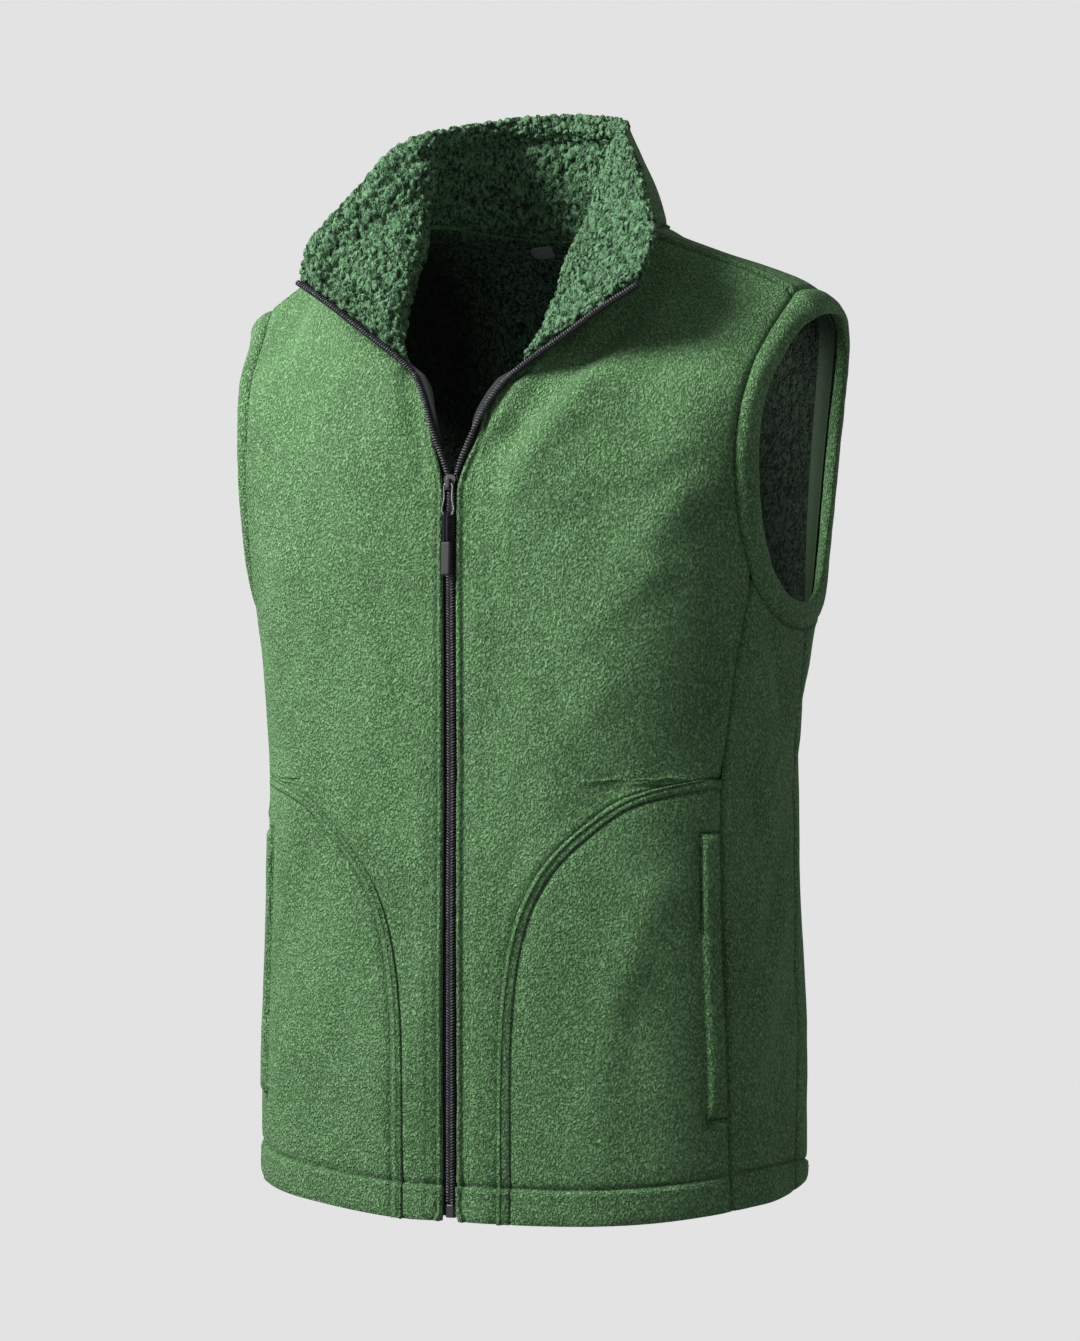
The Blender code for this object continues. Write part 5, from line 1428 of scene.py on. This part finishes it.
HARD = (
    ("zip_slider", "cast_slider", ZINC, "painted_zinc", VEST, 0.35 * MM, 3),
    ("zip_box", "cast_end_box", ZINC, "painted_zinc", VEST, 0.45 * MM, 3),
    ("pull_tab", "moulded_grip", PVC, "moulded_pvc", PULL, 0.9 * MM, 4),
)
for node, name, material, slot, body, edge, segments in HARD:
    piece = place_piece(name, rounded(node, edge, segments), [material], body, node, slot=slot)
    piece.modifiers.new("flat_faces", "WEIGHTED_NORMAL").keep_sharp = True
    print(name, len(piece.data.polygons), "faces")
bail = shell_of("pull_bail", roll=0, level=2)
place_piece("wire_bail", bail, [STEEL] * 3, PULL, "pull_bail", slot="steel_wire")

# %% [markdown]
# ## The pull's cord
# A doubled cord hangs in the bail and goes into the grip. It is twisted from three strands, and
# each strand is one long bar that winds round the cord's middle. The middle runs up in front of
# the wire, over it and down behind, as in the solids.

# %% Twist the cords
CORD_RADIUS, WIRE_RADIUS, CORD_CLEAR = 1.15 * MM, 0.6 * MM, 0.3 * MM
STRANDS, TWIST, STRAND_RADIUS = 3, 4.2 * MM, 0.60 * MM


CORD_STEP = 0.45 * MM


def end_middle(node, top):
    """Middle of the highest or the lowest points of a node."""
    points, _ = as_arrays(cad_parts[node].data)
    rise = -points[:, 2] if top else points[:, 2]
    return points[rise < rise.min() + 1.2 * MM].mean(0)


def cord_middle(x):
    """The route of one cord: up in front, over the wire, down behind."""
    wire = end_middle("pull_bail", top=False)
    wire[2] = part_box("pull_bail")[0][2] + WIRE_RADIUS
    grip = end_middle("pull_tab", top=True)
    grip[2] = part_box("pull_tab")[1][2] + CORD_CLEAR
    reach = WIRE_RADIUS + CORD_CLEAR + CORD_RADIUS
    def leg(side):
        return [(x, grip[1] + side * 1.3 * MM, grip[2]),
                (x, grip[1] + side * 1.6 * MM, grip[2] + 8 * MM),
                (x, wire[1] + side * reach, wire[2] - 4 * MM)]
    arc = [(x, wire[1] - reach * math.cos(a), wire[2] + reach * math.sin(a))
           for a in np.linspace(0, math.pi, 9)]
    return np.array(leg(-1) + arc + leg(1)[::-1])


def smoothed(line, step):
    """A finer line through the same points, with its corners eased."""
    fine = evenly(line, step)
    for _ in range(6):
        fine[1:-1] = (fine[:-2] + 2 * fine[1:-1] + fine[2:]) / 4
    return fine


for side in "LR":
    low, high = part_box(f"pull_cord_{side}")
    middle = smoothed(cord_middle((low[0] + high[0]) / 2), CORD_STEP)
    ahead = unit(np.gradient(middle, axis=0))
    aside = np.broadcast_to(np.array(ACROSS, float), ahead.shape)
    lift = unit(np.cross(ahead, aside))
    length = np.arange(len(middle)) * CORD_STEP
    strands = []
    for k in range(STRANDS):
        turn = (2 * math.pi * (length / TWIST + k / STRANDS))[:, None]
        around = aside * np.cos(turn) + lift * np.sin(turn)
        strands.append(middle + (CORD_RADIUS - STRAND_RADIUS) * around)
    radii = np.full(len(middle), STRAND_RADIUS)
    cord = bar_mesh("cord", strands, radii, [ACROSS] * STRANDS, sides=8)
    place_piece(f"twisted_cord_{side}", cord, [BRAID], PULL, f"pull_cord_{side}", slot="woven_tape")
    print("cord", side, "is", round(length[-1] / MM, 1), "mm long")

# %% [markdown]
# ## Floor and backdrop
# The vest is shown on an even pale ground, with no shadow and no horizon. In a studio that is a
# sheet of matt paper swept up behind, lit by lamps of its own. Here the sweep goes all round, so
# that it serves every view, and it glows evenly in place of those lamps. It throws no light on
# the vest, which keeps the dark side as deep as in the picture.

# %% Floor and backdrop
FLOOR_RISE, SWEEP_RADIUS, SWEEP_CURVE, SWEEP_SIDES = -1.05, 5.5, 1.5, 96


def sweep_profile():
    """Radius and height of a round studio sweep, from its middle out and up."""
    rows = [(0.0, 0.0), (2.0, 0.0), (4.5, 0.0)]
    rows += [(SWEEP_RADIUS + SWEEP_CURVE * math.sin(a), SWEEP_CURVE - SWEEP_CURVE * math.cos(a))
             for a in np.linspace(0.1, 1.57, 12)]
    return rows + [(7.0, 3.0), (7.0, 7.0)]


studio = bmesh.new()
rings = []
for radius, height in sweep_profile():
    turns = [2 * math.pi * k / SWEEP_SIDES for k in range(SWEEP_SIDES)]
    spots = [(radius * math.cos(t), radius * math.sin(t), FLOOR_RISE + height) for t in turns]
    rings.append([studio.verts.new(spot) for spot in spots] if radius
                 else [studio.verts.new((0, 0, FLOOR_RISE))] * SWEEP_SIDES)
for low, high in zip(rings, rings[1:]):
    for k in range(SWEEP_SIDES):
        after = (k + 1) % SWEEP_SIDES
        studio.faces.new(list(dict.fromkeys([low[k], low[after], high[after], high[k]])))
sweep_mesh = as_mesh(studio, "sweep")
sweep = bpy.data.objects.new("sweep", sweep_mesh)
bpy.context.collection.objects.link(sweep)
paper, _, _ = new_material(
    "matt_sweep_paper", Roughness=1.0, Specular_IOR_Level=0.0, Emission_Strength=1.0,
    Base_Color=linear("000000"), Emission_Color=linear("e3e3e3"))
sweep_mesh.materials.append(paper)
sweep.visible_diffuse = False
sweep.visible_shadow = False
sweep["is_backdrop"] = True
print("sweep points:", len(sweep_mesh.vertices))

# %% [markdown]
# ## Light
# One softbox stands high on the vest's right and gives nearly all the light, so its left side
# falls into shade. A weak one from the other side keeps that shade from going flat. The room
# itself adds a little cool light from all round.

# %% Lights
scene = bpy.context.scene
scene.view_settings.view_transform = "Standard"
world = bpy.data.worlds.new("room")
world.use_nodes = True
room = world.node_tree.nodes["Background"]
room.inputs["Color"].default_value = linear("dfe4e8")
room.inputs["Strength"].default_value = 0.22
scene.world = world


def softbox(name, place, aim, width, power):
    """A soft square light at place that looks at aim."""
    lamp = bpy.data.lights.new(name, "AREA")
    lamp.shape, lamp.size, lamp.size_y = "RECTANGLE", width, width
    lamp.energy = power
    holder = bpy.data.objects.new(name, lamp)
    holder.location = place
    holder.rotation_euler = (Vector(aim) - Vector(place)).to_track_quat("-Z", "Y").to_euler()
    bpy.context.collection.objects.link(holder)


softbox("key", (-1.20, -1.15, 1.00), (-0.03, 0, -0.2), 0.75, 77)
softbox("fill", (2.6, -1.4, 0.7), (0.2, 0, -0.4), 0.8, 2.5)

# %% [markdown]
# ## Sizes
# Cloth is shaped outwards as well as inwards, so the dressed vest is measured once more. It has
# to stay close to the box of the solids.

# %% Sizes
low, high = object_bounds()
print("size of the dressed vest in mm:", [round((b - a) / MM) for a, b in zip(low, high)])
